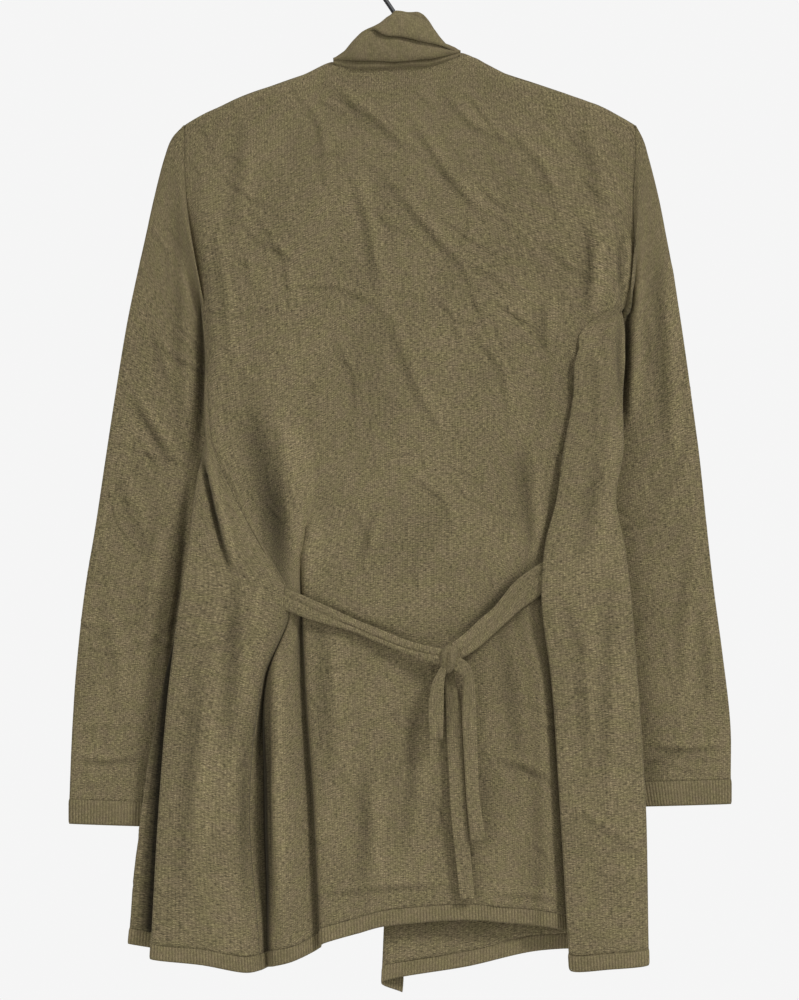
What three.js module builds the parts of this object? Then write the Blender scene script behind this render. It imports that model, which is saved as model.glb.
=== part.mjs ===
// A fine ribbed-edge open cardigan with a rolled collar and a half bow at its back, on a plain hanger.
// Millimetres. x runs to the right of the view from behind the garment, y away from that view, z up.
// The origin is the inner top of the hook, where a rail would carry it.
import * as THREE from 'three';
import { mergeVertices } from 'three/addons/utils/BufferGeometryUtils.js';

// Cloth, seams and ribs.
const CLOTH = 1.6;
const TIE_CLOTH = 2.2;
const SEAM_GAP = 0.35;
const HEM_GAP = 0.85;
const HEM_SEAM_GAP = 1.3;
const HANGER_GAP = 0.6;
const SLEEVE_SEAM_GAP = 0.9;
const RIB_PITCH = 2.4;
const RIB_RISE = 0.55;
const HEM_DEPTH = 14;
const CUFF_DEPTH = 22;

// The shoulder cloth turns over the hanger's round upper edge in a quarter circle.
const HANGER_HALF = 5;
const SHOULDER_TURN = HANGER_HALF + HANGER_GAP + CLOTH / 2;
const TOP_DROPS = [0, 0.134, 0.5, 1].map((share) => share * SHOULDER_TURN);

// The hook: wire radius and the circle that the wire follows.
const WIRE = 2;
const HOOK_RADIUS = 22;
const HOOK_TIP = THREE.MathUtils.degToRad(-32);

const LEVEL_SHARES = [0.06, 0.13, 0.2, 0.26, 0.32, 0.38, 0.44, 0.5, 0.553, 0.6, 0.66, 0.74, 0.82, 0.91, 1];
const STEPS_PER_FOLD = 2;
const BESIDE_SEAM = 0.12;
const SLEEVE_SIDES = 14;

const KNIT = { color: 0x6f6a4e, roughness: 0.95, metalness: 0 };
const WIRE_FINISH = { color: 0x1b1b1c, roughness: 0.4, metalness: 0.6 };
const ARM_FINISH = { color: 0x232324, roughness: 0.55, metalness: 0 };

// Each panel is a table with a row for each fold line, from one edge to the other: where the line
// starts and ends in height, whether it turns over the hanger (over), and its x and y at HEIGHTS.
// Rows named past a seam only steer the curve, so that the cloth runs on smoothly through the seam.
const HEIGHTS = [-127, -215, -303, -347, -391, -435, -479, -518.5, -558.5, -637.5, -743, -866.5];

const BACK = [
  { fold: 'past the left seam', top: -145.5, hem: -881.5, over: 1,
    x: [-202.5, -199, -172.5, -173, -173.5, -170.5, -155, -135.5, -112.5, -137.5, -146, -139],
    y: [-6, -6, 2.2, -1.4, -2.5, -7, -13, -20, -26, -18, -17, -16] },
  { fold: 'left armhole and side seam', top: -153.5, hem: -879.5, over: 1,
    x: [-192, -188.5, -174, -170.5, -170.5, -165.5, -146, -125, -102, -123, -134.5, -126.5],
    y: [-6, -6, -1.5, -5, -6.5, -9.5, -13, -19, -24, -6, 0, -4] },
  { fold: 'valley beside the left seam', top: -144, hem: -877.5, over: 1,
    x: [-172.5, -170.5, -159.5, -157.5, -156, -149.5, -135.5, -118, -98.5, -119.5, -123, -119.5],
    y: [-6.5, -7, -7, -8, -8, -10, -13, -18, -22.5, 4, 6, 4] },
  { fold: 'left edge of the ridge', top: -137, hem: -876, over: 1,
    x: [-156.5, -154, -143.5, -141, -138, -132, -123, -110, -95, -117, -118, -113.5],
    y: [-6.5, -8, -9, -9.5, -10, -11, -13, -17, -20, -10, -12, -8] },
  { fold: 'right side of the ridge', top: -125.5, hem: -872, over: 1,
    x: [-134, -131, -123, -119.5, -116, -112.5, -105.5, -100.5, -91.5, -100.5, -98.5, -97.5],
    y: [-6.5, -8, -9, -9.5, -10, -11, -11, -14, -13, -13, -14, -10.5] },
  { fold: 'valley left of the centre', top: -111, hem: -860.5, over: 1,
    x: [-98.5, -97, -90, -87, -85.5, -82.5, -81, -87, -89, -86, -79, -73],
    y: [-6.5, -8, -8, -8, -8, -7, -6, -5, -4, 0, 2, 2] },
  { fold: 'edge of the centre fold', top: -105, hem: -856.5, over: 1,
    x: [-84.5, -82, -74, -72, -70.5, -70.5, -71.5, -82.5, -85, -83, -76, -70.5],
    y: [-6.5, -8, -8.5, -9, -9, -9, -9, -10, -10, -10, -9, -8] },
  { fold: 'left neck point', top: -93.5, hem: -848, over: 1,
    x: [-60, -57, -51, -49.5, -47.5, -46.5, -46, -51, -54.5, -53, -47.5, -42],
    y: [-6.5, -8, -9, -9, -9, -9, -9.5, -10, -10, -9, -8, -7] },
  { fold: 'left end of the back neck', top: -97, hem: -847, over: 0,
    x: [-53.5, -51, -46, -44.5, -43, -42, -42, -46.5, -50, -48, -43, -38],
    y: [-6.8, -8, -9, -9, -9, -9, -9.5, -10, -10, -9, -8, -7] },
  { fold: 'left of the back neck', top: -98.5, hem: -841.5, over: 0,
    x: [-30, -29, -26.5, -25.5, -24.5, -24, -23, -24.5, -26.5, -24.5, -21, -18.5],
    y: [-7, -8, -9, -9, -9.5, -9.5, -10, -11, -11, -9, -8, -7] },
  { fold: 'centre of the back', top: -96.5, hem: -838, over: 0,
    x: [0, 0, 1, 2, 2, 2.5, 3.5, 3.5, 3.5, 5.5, 9, 12.5],
    y: [-7, -8, -9, -9.5, -10, -10, -11, -11.5, -12, -10, -8, -7] },
  { fold: 'right of the back neck', top: -93, hem: -835.5, over: 0,
    x: [26.5, 28, 31.5, 33.5, 35, 37, 38.5, 38.5, 38.5, 38.5, 42, 47.5],
    y: [-7, -8, -9, -9.5, -10, -10, -11, -11.5, -12, -10, -8, -7] },
  { fold: 'right end of the back neck', top: -89.5, hem: -836, over: 0,
    x: [47.5, 51.5, 59, 63, 66, 66.5, 65, 64, 62, 65, 70.5, 76],
    y: [-6.8, -8, -8.7, -9, -9.3, -9.3, -9.5, -10.3, -10.5, -9.5, -7.7, -6.7] },
  { fold: 'right neck point', top: -85.5, hem: -837, over: 1,
    x: [53.5, 58, 67, 71.5, 74, 74, 72, 70.5, 68.5, 72, 77.5, 82.5],
    y: [-6.5, -8, -8.5, -9, -9, -9, -9, -10, -10, -9, -7.5, -6.5] },
  { fold: 'valley right of the centre', top: -109.5, hem: -840, over: 1,
    x: [99.5, 105.5, 122.5, 123, 116, 106.5, 107.5, 107.5, 97, 105.5, 112.5, 114.5],
    y: [-6.5, -7, -5.5, -5, -5, -4.5, -4.5, -6, -8, -4, -3, -3] },
  { fold: 'narrow ridge at the right', top: -122, hem: -841.5, over: 1,
    x: [132, 137.5, 149.5, 144.5, 135.5, 126.5, 122.5, 117, 107.5, 121.5, 126, 128.5],
    y: [-6.5, -8, -9.5, -9, -8, -8, -8, -10, -12, -11, -10, -9] },
  { fold: 'valley under the right fold', top: -138, hem: -866, over: 1,
    x: [172.5, 174, 176, 169, 162, 150.5, 141.5, 131, 124, 134, 141, 148.5],
    y: [-6.5, -7, -7, -6, -3.5, -3.2, -3.2, -5.5, -10, -4, -3, -1] },
  { fold: 'right armhole and side seam', top: -154, hem: -881, over: 1,
    x: [206, 204, 200, 185, 167, 156, 147, 136.5, 129.5, 139, 146, 154],
    y: [-6, -6, -1, -5, -6.5, -6.5, -7, -9.5, -14, -7.5, -6.5, -6] },
  { fold: 'past the right seam', top: -145.5, hem: -880.5, over: 1,
    x: [216.5, 214.5, 198.5, 189, 162, 150.5, 141.5, 132, 126.5, 135.5, 142.5, 150.5],
    y: [-6, -6, 1.5, -5.5, -9.5, -10, -11, -14, -18.5, -12.5, -11.5, -10.5] },
];

const LEFT_FRONT = [
  { fold: 'past the seam', top: -144, hem: -877.5, over: 1,
    x: [-202.5, -195.5, -159.5, -157.5, -156, -149.5, -135.5, -118, -98.5, -119.5, -123, -119.5],
    y: [6, 6, -7, -8, -8, -10, -13, -18, -22.5, 4, 6, 4] },
  { fold: 'armhole and side seam', top: -153.5, hem: -879.5, over: 1,
    x: [-192, -185, -174, -170.5, -170.5, -165.5, -146, -125, -102, -123, -134.5, -126.5],
    y: [6, 6, -1.5, -5, -6.5, -9.5, -13, -19, -24, -6, 0, -4] },
  { fold: 'beside the seam', top: -145.6, hem: -881, over: 1,
    x: [-176, -172.5, -172.5, -173, -173.5, -170.5, -155, -135.5, -112.5, -137.5, -146, -139],
    y: [6.5, 6.5, 2.2, -1.4, -2.5, -7, -13, -20, -26, -18, -17, -16] },
  { fold: 'side panel', top: -138.1, hem: -874, over: 1,
    x: [-160, -156.5, -163.5, -166.5, -166.5, -174, -169, -158.5, -146, -170.5, -181.5, -176],
    y: [6.5, 7, 5, 3.5, 2.5, -3, -11, -18, -22, -22, -21, -21] },
  { fold: 'side fold', top: -130.2, hem: -870.5, over: 1,
    x: [-144.5, -141, -149.5, -146, -157.5, -174.5, -183, -187.5, -193.5, -204, -217.5, -222.5],
    y: [6.5, 7, 6.5, 6, 5, 0.5, -5, -10, -13, -13, -12, -12] },
  { fold: 'pleat behind the side fold', top: -123.6, hem: -869, over: 1,
    x: [-130, -127.5, -126.5, -134, -148, -164.5, -171.5, -172.5, -176, -183, -193.5, -199],
    y: [6.5, 7, 7.5, 7.5, 6.5, 3.8, 0.5, -1, -3, -3, -2, 0] },
  { fold: 'outer fold', top: -117.7, hem: -867, over: 1,
    x: [-116, -114.5, -114.5, -121.5, -137.5, -160, -175, -183, -190, -209.5, -229, -241],
    y: [6.5, 7, 8, 8, 8, 7.5, 5, 4, 3.5, 3.5, 4, 7] },
  { fold: 'behind, left', top: -111.9, hem: -864.5, over: 1,
    x: [-102, -101, -100.5, -105.5, -118, -134, -146, -151.5, -155, -167, -181.5, -190],
    y: [6.5, 7.5, 8.5, 8.5, 9, 9, 9, 9, 9, 9, 9.5, 13] },
  { fold: 'behind, middle', top: -105.8, hem: -862, over: 1,
    x: [-87, -87, -85.5, -88, -95, -104, -112.5, -116, -119.5, -128.5, -135.5, -139],
    y: [7, 8, 9, 9.5, 10, 10.5, 11, 11, 11, 11, 11, 14] },
  { fold: 'turn of the front edge', top: -94.5, hem: -857.5, over: 1,
    x: [-62.5, -61.5, -58, -59, -60.5, -63.5, -67, -68.5, -70.5, -72, -72, -72],
    y: [9, 12, 15, 16, 17, 18, 19, 19, 19, 19, 20, 21] },
  { fold: 'free front edge', top: -107.5, hem: -859, over: 0,
    x: [-74, -90, -103, -105.5, -107.5, -109, -111, -111, -111, -111, -111, -112],
    y: [13, 23, 26, 26.5, 27, 27, 27, 27, 27, 27, 27, 27] },
];

const RIGHT_FRONT = [
  { fold: 'past the seam', top: -138, hem: -866, over: 1,
    x: [216.5, 209.5, 176, 169, 162, 150.5, 141.5, 131, 124, 134, 141, 148.5],
    y: [6, 6, -7, -6, -3.5, -3.2, -3.2, -5.5, -10, -4, -3, -1] },
  { fold: 'armhole and side seam', top: -154, hem: -881, over: 1,
    x: [206, 199, 200, 185, 167, 156, 147, 136.5, 129.5, 139, 146, 154],
    y: [6, 6, -1, -5, -6.5, -6.5, -7, -9.5, -14, -7.5, -6.5, -6] },
  { fold: 'under the side fold', top: -146.1, hem: -880.5, over: 1,
    x: [190, 186.5, 198.5, 189, 162, 150.5, 141.5, 132, 126.5, 135.5, 142.5, 150.5],
    y: [6.5, 6.5, 1.5, -5.5, -9.5, -10, -11, -14, -18.5, -12.5, -11.5, -10.5] },
  { fold: 'fold edge over the back', top: -138.5, hem: -879.5, over: 1,
    x: [174, 172.5, 196.5, 192, 152, 142.5, 135.5, 126, 122.5, 131.5, 139, 146.5],
    y: [6.5, 6.8, 3.3, -5, -12.5, -14, -15, -18, -22, -17, -16, -15] },
  { fold: 'side panel', top: -132.2, hem: -877.5, over: 1,
    x: [158.5, 158.5, 193.5, 194.5, 172.5, 169, 163.5, 160, 160, 169, 176, 181.5],
    y: [6.5, 7, 4.8, -3.5, -13, -16, -17, -19, -22, -20, -19, -18] },
  { fold: 'outer edge', top: -126.5, hem: -873.5, over: 1,
    x: [144.5, 144.5, 189, 197, 192.5, 194.5, 188, 195.5, 200.5, 207, 214, 216.5],
    y: [6.5, 7, 5.8, -0.5, -4, -5, -6, -6, -6, -6, -6, -6] },
  { fold: 'behind, right', top: -120.8, hem: -863, over: 1,
    x: [130, 130, 179.5, 190, 174, 172.5, 165.5, 167, 167, 170.5, 174, 176],
    y: [6.5, 7.3, 7, 4.5, 7, 8, 8, 8, 8, 8, 8, 8] },
  { fold: 'behind, middle', top: -114.8, hem: -863.5, over: 1,
    x: [114.5, 114.5, 139, 139, 132, 126.5, 121.5, 121.5, 121.5, 121.5, 121.5, 121.5],
    y: [6.5, 7.5, 8, 8, 9, 9.5, 10, 10, 10, 10, 10.5, 11] },
  { fold: 'behind, inner', top: -102.3, hem: -877, over: 1,
    x: [86, 86, 90.5, 89, 86, 82, 77.5, 74, 70.5, 65, 61.5, 60],
    y: [7.8, 9, 11, 12, 12.5, 13, 13, 13, 13, 12, 11, 10] },
  { fold: 'turn of the front edge', top: -86.8, hem: -892, over: 1,
    x: [56.5, 44, 30, 23, 16.5, 11.5, 6, 2.5, 0, -5.5, -10.5, -16],
    y: [9.5, 13, 16, 17, 18, 18, 18, 17, 16, 14, 12, 9.5] },
  { fold: 'free front edge', top: -100.5, hem: -897, over: 0,
    x: [67, 79, 77.5, 70.5, 63.5, 54.5, 46, 38.5, 33.5, 23, 12.5, 3.5],
    y: [13, 24, 27, 27, 27, 27, 26, 25, 24, 21, 18, 19] },
];

const LEFT_SLEEVE = [
  { outer: [-200, 0, -162.5], inner: [-175.5, 0.5, -305.5], half: 6.6 },
  { outer: [-207.5, 0.5, -178], inner: [-176.5, 4, -311], half: 7 },
  { outer: [-217, 2, -212.5], inner: [-174, 11, -321.5], half: 7 },
  { outer: [-225.5, 5, -246], inner: [-163.5, 16, -338.5], half: 7 },
  { outer: [-232.5, 9, -276.5], inner: [-149.5, 18.5, -360.5], half: 6.5 },
  { outer: [-242, 14, -320.5], inner: [-135.5, 20, -393], half: 6.3 },
  { outer: [-252.5, 18, -382.5], inner: [-132, 20.5, -431.5], half: 6 },
  { outer: [-262, 20, -444], inner: [-141.5, 20.5, -472], half: 6 },
  { outer: [-270.5, 20.5, -501], inner: [-156.5, 20.5, -518.5], half: 6 },
  { outer: [-280, 20.5, -558.5], inner: [-171.5, 20.5, -569], half: 6 },
  { outer: [-286.5, 20.5, -615.5], inner: [-183, 20.5, -622.5], half: 6 },
  { outer: [-291, 20.5, -677], inner: [-192.5, 20.5, -682.5], half: 6 },
  { outer: [-292.5, 20.5, -744], inner: [-200, 20.5, -747], half: 6 },
];

const RIGHT_SLEEVE = [
  { outer: [210, 0, -162.5], inner: [201.5, 0.5, -305.5], half: 6.6 },
  { outer: [217, 0.5, -178], inner: [202, 4, -311], half: 7 },
  { outer: [226, 2, -213.5], inner: [199, 11, -321.5], half: 7 },
  { outer: [233, 5, -248.5], inner: [185.5, 16, -338.5], half: 7 },
  { outer: [238.5, 9, -276.5], inner: [170.5, 18.5, -360.5], half: 6.5 },
  { outer: [245.5, 14, -325], inner: [156.5, 20, -393], half: 6.3 },
  { outer: [253.5, 18, -382.5], inner: [149.5, 20.5, -431.5], half: 6 },
  { outer: [261.5, 20, -444], inner: [155, 20.5, -472], half: 6 },
  { outer: [267.5, 20.5, -501], inner: [163.5, 20.5, -518.5], half: 6 },
  { outer: [274, 20.5, -556.5], inner: [173.5, 20.5, -565.5], half: 6 },
  { outer: [281.5, 20.5, -613], inner: [181.5, 20.5, -618], half: 6 },
  { outer: [288.5, 20.5, -677], inner: [190, 20.5, -679.5], half: 6 },
  { outer: [288, 20.5, -726.5], inner: [196, 20.5, -729], half: 6 },
];

const LEFT_TIE = [
  { a: [-100.5, -556.5], b: [-102.5, -575], y: -25.6 },
  { a: [-82.5, -564.5], b: [-86.5, -582.5], y: -24.4 },
  { a: [-63.5, -573], b: [-64, -590], y: -22 },
  { a: [-39.5, -584], b: [-41.5, -595.5], y: -20 },
  { a: [-18.5, -592.5], b: [-19.5, -605], y: -20 },
  { a: [2.5, -601.5], b: [2.5, -613.5], y: -21 },
  { a: [28.5, -609.5], b: [28.5, -620.5], y: -26 },
];
const RIGHT_TIE = [
  { a: [123.4, -535.5], b: [122.1, -557], y: -18.2 },
  { a: [110, -542.5], b: [115.5, -562], y: -19 },
  { a: [99, -551], b: [105.5, -569.5], y: -20.5 },
  { a: [89, -564.5], b: [93.5, -582], y: -21 },
  { a: [80, -576], b: [82.5, -593.5], y: -21.5 },
  { a: [68, -584.5], b: [72, -602.5], y: -22 },
  { a: [59, -594.5], b: [62.5, -609.5], y: -23 },
  { a: [50.4, -606.5], b: [50.7, -618], y: -26.3 },
];
const LONG_END = [
  { a: [37, -626], b: [44, -626], y: -20.6 },
  { a: [37.5, -641], b: [47.5, -641], y: -19.5 },
  { a: [38.5, -663], b: [51.5, -663], y: -17.5 },
  { a: [39, -685], b: [53, -685], y: -17 },
  { a: [41, -716.5], b: [54.5, -716.5], y: -16.5 },
  { a: [42.5, -749], b: [56.5, -749], y: -16 },
  { a: [46.5, -789.5], b: [60, -789.5], y: -15.5 },
  { a: [51, -830], b: [64, -830], y: -15 },
];
const SHORT_END = [
  { a: [51, -615.5], b: [50.9, -626.5], y: -30 },
  { a: [54, -619], b: [53, -633], y: -29.3 },
  { a: [59.5, -625], b: [54.5, -637.5], y: -26 },
  { a: [63, -634], b: [53.5, -646.5], y: -24 },
  { a: [64.5, -655], b: [53, -658.5], y: -22.5 },
  { a: [65.5, -674.5], b: [53, -674.5], y: -22 },
  { a: [66.5, -705], b: [54.5, -705], y: -21.5 },
  { a: [68, -739.5], b: [56.5, -739.5], y: -21 },
  { a: [71, -760.5], b: [58.5, -760.5], y: -20.5 },
  { a: [74, -778], b: [60.5, -778.5], y: -20 },
];
const LOOP = [
  { a: [31, -631.6], b: [38, -631.6], y: -30 },
  { a: [26.5, -639], b: [37, -639], y: -31 },
  { a: [24, -650.5], b: [36.5, -650.5], y: -31 },
  { a: [23, -669], b: [36, -669], y: -30.8 },
  { a: [24, -684], b: [35.5, -684], y: -30.4 },
  { a: [24, -689], b: [35.5, -689], y: -27.8 },
  { a: [24, -684], b: [36, -684], y: -25.2 },
  { a: [24.5, -669], b: [36.5, -669], y: -24.8 },
  { a: [25.5, -650.5], b: [36.5, -650.5], y: -24.6 },
  { a: [27.5, -639], b: [37, -639], y: -24.6 },
  { a: [32, -631.6], b: [38, -631.6], y: -25.2 },
];
const COLLAR = [
  { x: -56.5, seam: -94, roll: -90.5, crease: -88.5, top: -87.5 },
  { x: -46, seam: -97, roll: -90.5, crease: -82, top: -80.5 },
  { x: -31.5, seam: -98.5, roll: -91, crease: -71, top: -68.5 },
  { x: -16, seam: -98, roll: -92, crease: -69, top: -59 },
  { x: 0, seam: -96.5, roll: -91.5, crease: -71, top: -48.5 },
  { x: 16, seam: -95, roll: -90, crease: -74, top: -50 },
  { x: 31.5, seam: -92.5, roll: -88, crease: -78, top: -69 },
  { x: 42, seam: -89, roll: -86, crease: -81, top: -78.5 },
  { x: 49.5, seam: -87, roll: -85, crease: -84, top: -83.5 },
];
// The hanger's arms follow these folds of the back's shoulders, with a dip between the neck points.
const ARM_FOLDS_LEFT = [1.5, 2, 2.5, 3, 3.5, 4, 4.5, 5, 5.5, 6, 6.5];
const ARM_MIDDLE = [
  { x: -54, top: -99.5, deep: 22 },
  { x: -34, top: -104, deep: 24 },
  { x: 2, top: -105, deep: 26 },
  { x: 38, top: -102, deep: 24 },
  { x: 55, top: -95, deep: 22 },
];
const ARM_FOLDS_RIGHT = [13.5, 14, 14.5, 15, 15.5, 16, 16.5];

// The armhole runs from the shoulder's end to the underarm; the knot is a pillow at the ties' meeting.
const ARMHOLE_TOP = -153.5;
const ARMPIT = -303;
const HOOK_FOOT = -106.1;
const KNOT = { x: 39.5, y: -27.5, z: -619.5, halfX: 10.6, halfY: 5.4, halfZ: 11.6 };

// A smooth curve through a column of a table, straight on beyond its ends.
function smoothAt(stations, values, at) {
  const last = stations.length - 1;
  const slope = (i) => (values[i + 1] - values[i]) / (stations[i + 1] - stations[i]);
  if (at >= stations[0]) return values[0] + slope(0) * (at - stations[0]);
  if (at <= stations[last]) return values[last] + slope(last - 1) * (at - stations[last]);
  let i = 0;
  while (at < stations[i + 1]) i += 1;
  const knotSlope = (k) => {
    if (k === 0) return slope(0);
    if (k === last) return slope(last - 1);
    const before = stations[k] - stations[k - 1];
    const after = stations[k + 1] - stations[k];
    return (slope(k - 1) * after + slope(k) * before) / (before + after);
  };
  const span = stations[i + 1] - stations[i];
  const t = (at - stations[i]) / span;
  const t2 = t * t;
  const t3 = t2 * t;
  return values[i] * (2 * t3 - 3 * t2 + 1) + values[i + 1] * (3 * t2 - 2 * t3)
    + span * (knotSlope(i) * (t3 - 2 * t2 + t) + knotSlope(i + 1) * (t3 - t2));
}

// A point of one fold line: a share of the way from its top to its hem, and a drop below that.
function linePoint(row, side, share, drop) {
  const z = THREE.MathUtils.lerp(row.top, row.hem, share) - drop;
  let y = smoothAt(HEIGHTS, row.y, z);
  const below = (row.top - z) / SHOULDER_TURN;
  if (row.over && below < 1) {
    const turn = Math.sqrt(Math.max(0, 1 - (1 - below) ** 2));
    y = side * SEAM_GAP / 2 + (y - side * SEAM_GAP / 2) * turn;
  }
  return new THREE.Vector3(smoothAt(HEIGHTS, row.x, z), y, z);
}

// A panel as a surface: fold counts table rows, and the curve between them is a smooth spline.
function panelSurface(rows, side) {
  return (fold, share, drop) => {
    const points = rows.map((row) => linePoint(row, side, share, drop));
    const point = new THREE.CatmullRomCurve3(points, false, 'centripetal').getPoint(fold / (rows.length - 1));
    if (share === 0) point.y = side * Math.max(side * point.y, SEAM_GAP / 2);
    return point;
  };
}

// Moves a point on a seam inwards along its row by half the seam gap, so that the pieces part there.
function seamPoint(surface, fold, share, drop, inward, gap = SEAM_GAP) {
  const here = surface(fold, share, drop);
  if (inward === 0) return here;
  const next = surface(fold + inward * 0.02, share, drop);
  return here.lerp(next, 0.5 * gap / here.distanceTo(next));
}

// Builds a closed wall from grids of outer and inner points; wrap joins the last column to the first.
function wallGeometry(outer, inner, wrap) {
  const rows = outer.length;
  const columns = outer[0].length;
  const positions = [];
  const index = [];
  for (const sheet of [outer, inner]) {
    for (const row of sheet) for (const p of row) positions.push(p.x, p.y, p.z);
  }
  const at = (sheet, r, c) => (sheet * rows + r) * columns + (c % columns);
  const quad = (a, b, c, d) => index.push(a, b, c, a, c, d);
  const spans = wrap ? columns : columns - 1;
  for (let r = 0; r < rows - 1; r += 1) {
    for (let c = 0; c < spans; c += 1) {
      quad(at(0, r, c), at(0, r + 1, c), at(0, r + 1, c + 1), at(0, r, c + 1));
      quad(at(1, r, c), at(1, r, c + 1), at(1, r + 1, c + 1), at(1, r + 1, c));
    }
    if (!wrap) {
      quad(at(0, r, 0), at(1, r, 0), at(1, r + 1, 0), at(0, r + 1, 0));
      quad(at(0, r, spans), at(0, r + 1, spans), at(1, r + 1, spans), at(1, r, spans));
    }
  }
  for (let c = 0; c < spans; c += 1) {
    quad(at(0, 0, c), at(0, 0, c + 1), at(1, 0, c + 1), at(1, 0, c));
    quad(at(0, rows - 1, c), at(1, rows - 1, c), at(1, rows - 1, c + 1), at(0, rows - 1, c + 1));
  }
  return solidGeometry(positions, index);
}

// A geometry from positions and triangles, with its faces turned outwards.
function solidGeometry(positions, index) {
  let volume = 0;
  const corner = (i) => new THREE.Vector3().fromArray(positions, 3 * index[i]);
  for (let i = 0; i < index.length; i += 3) {
    volume += corner(i).dot(corner(i + 1).cross(corner(i + 2)));
  }
  const faces = [];
  for (let i = 0; i < index.length; i += 3) {
    if (volume > 0) faces.push(index[i], index[i + 1], index[i + 2]);
    else faces.push(index[i], index[i + 2], index[i + 1]);
  }
  const geometry = new THREE.BufferGeometry();
  geometry.setAttribute('position', new THREE.Float32BufferAttribute(positions, 3));
  geometry.setIndex(faces);
  geometry.computeVertexNormals();
  return geometry;
}

// Unit normals of a grid of points, from the neighbours on each side.
function gridNormals(grid, wrap) {
  const rows = grid.length;
  const columns = grid[0].length;
  return grid.map((row, r) => row.map((p, c) => {
    const left = wrap ? row[(c + columns - 1) % columns] : row[Math.max(c - 1, 0)];
    const right = wrap ? row[(c + 1) % columns] : row[Math.min(c + 1, columns - 1)];
    const up = grid[Math.max(r - 1, 0)][c];
    const down = grid[Math.min(r + 1, rows - 1)][c];
    const along = right.clone().sub(left);
    return down.clone().sub(up).cross(along).normalize();
  }));
}

function offsetGrid(grid, normals, distance) {
  return grid.map((row, r) => row.map((p, c) => p.clone().addScaledVector(normals[r][c], distance)));
}

// A wall of even thickness on a grid of middle points, with normals measured on its surface if given.
function wallOnGrid(grid, thickness, wrap, normals = gridNormals(grid, wrap)) {
  return wallGeometry(offsetGrid(grid, normals, thickness / 2), offsetGrid(grid, normals, -thickness / 2), wrap);
}

// The levels of a panel's grid: close together where the shoulder turns, then down to the hem.
const LEVELS = [
  ...TOP_DROPS.map((drop) => ({ share: 0, drop })),
  ...LEVEL_SHARES.map((share) => ({ share, drop: SHOULDER_TURN * (1 - share) })),
];

// A panel's columns, from its seam or edge at row first to the one at row last. The sign of inward
// says which way a seam column moves to part the pieces; it is 0 at a free edge and inside.
function panelColumns({ first, last, seamAtLast }) {
  const columns = [];
  for (let k = first * STEPS_PER_FOLD; k <= last * STEPS_PER_FOLD; k += 1) {
    const fold = k / STEPS_PER_FOLD;
    let inward = 0;
    if (fold === first) inward = 1;
    if (fold === last && seamAtLast) inward = -1;
    if (inward === -1) columns.push({ fold: fold - BESIDE_SEAM, inward: 0 });
    columns.push({ fold, inward });
    if (inward === 1) columns.push({ fold: fold + BESIDE_SEAM, inward: 0 });
  }
  return columns;
}

// The solid wall of a panel.
function panelWall(panel) {
  const { surface } = panel;
  const grid = [];
  const normals = [];
  for (const { share, drop } of LEVELS) {
    const gridRow = [];
    const normalRow = [];
    for (const { fold, inward } of panelColumns(panel)) {
      gridRow.push(seamPoint(surface, fold, share, drop, inward));
      const along = surface(fold + 0.02, share, drop).sub(surface(fold - 0.02, share, drop));
      const above = share === 0 && drop === 0 ? 0 : 0.05;
      const down = surface(fold, share, drop + 0.05).sub(surface(fold, share, drop - above));
      const normal = down.cross(along);
      if (share === 1) normal.z = 0;
      if (share === 0 && drop === 0 && Math.abs(gridRow[gridRow.length - 1].y) < 1) normal.set(0, 0, normal.z);
      normalRow.push(normal.normalize());
    }
    grid.push(gridRow);
    normals.push(normalRow);
  }
  return wallOnGrid(grid, CLOTH, false, normals);
}

// A ribbed band of one strip of cloth: rib crests in the outer points, a plain wall inside.
// place(s, v) gives the middle surface for s from 0 to 1 along and v from 0 to 1 down.
function ribbedBand(place, wrap, outside) {
  const probe = 900;
  const path = [];
  for (let i = 0; i <= probe; i += 1) path.push(place(i / probe, 0.5));
  const lengths = [0];
  for (let i = 1; i <= probe; i += 1) lengths.push(lengths[i - 1] + path[i].distanceTo(path[i - 1]));
  const total = lengths[probe];
  const ribs = Math.round(total / RIB_PITCH);
  const shares = [];
  let at = 0;
  for (let k = 0; k <= ribs * 2; k += 1) {
    const want = (total * k) / (ribs * 2);
    while (at < probe - 1 && lengths[at + 1] < want) at += 1;
    shares.push((at + (want - lengths[at]) / (lengths[at + 1] - lengths[at])) / probe);
  }
  if (wrap) shares.pop();
  const count = shares.length;
  const middle = [0, 1].map((v) => shares.map((s) => place(Math.min(s, 1), v)));
  const normals = [0, 1].map((v) => shares.map((s, k) => {
    const before = middle[v][wrap ? (k + count - 1) % count : Math.max(k - 1, 0)];
    const after = middle[v][wrap ? (k + 1) % count : Math.min(k + 1, count - 1)];
    const down = middle[1][k].clone().sub(middle[0][k]);
    const normal = down.cross(after.clone().sub(before));
    return normal.setZ(0).normalize().multiplyScalar(outside);
  }));
  const crest = (k) => CLOTH / 2 + (k % 2 === 1 ? RIB_RISE : 0);
  const outer = [0, 1].map((v) => offsetColumns(middle[v], normals[v], crest, wrap));
  const plain = [0, 1].map((v) => offsetColumns(middle[v], normals[v], () => -CLOTH / 2, wrap));
  const stops = plainStops(plain[0], count, wrap);
  return bandGeometry(outer, plain, stops, wrap);
}

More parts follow.
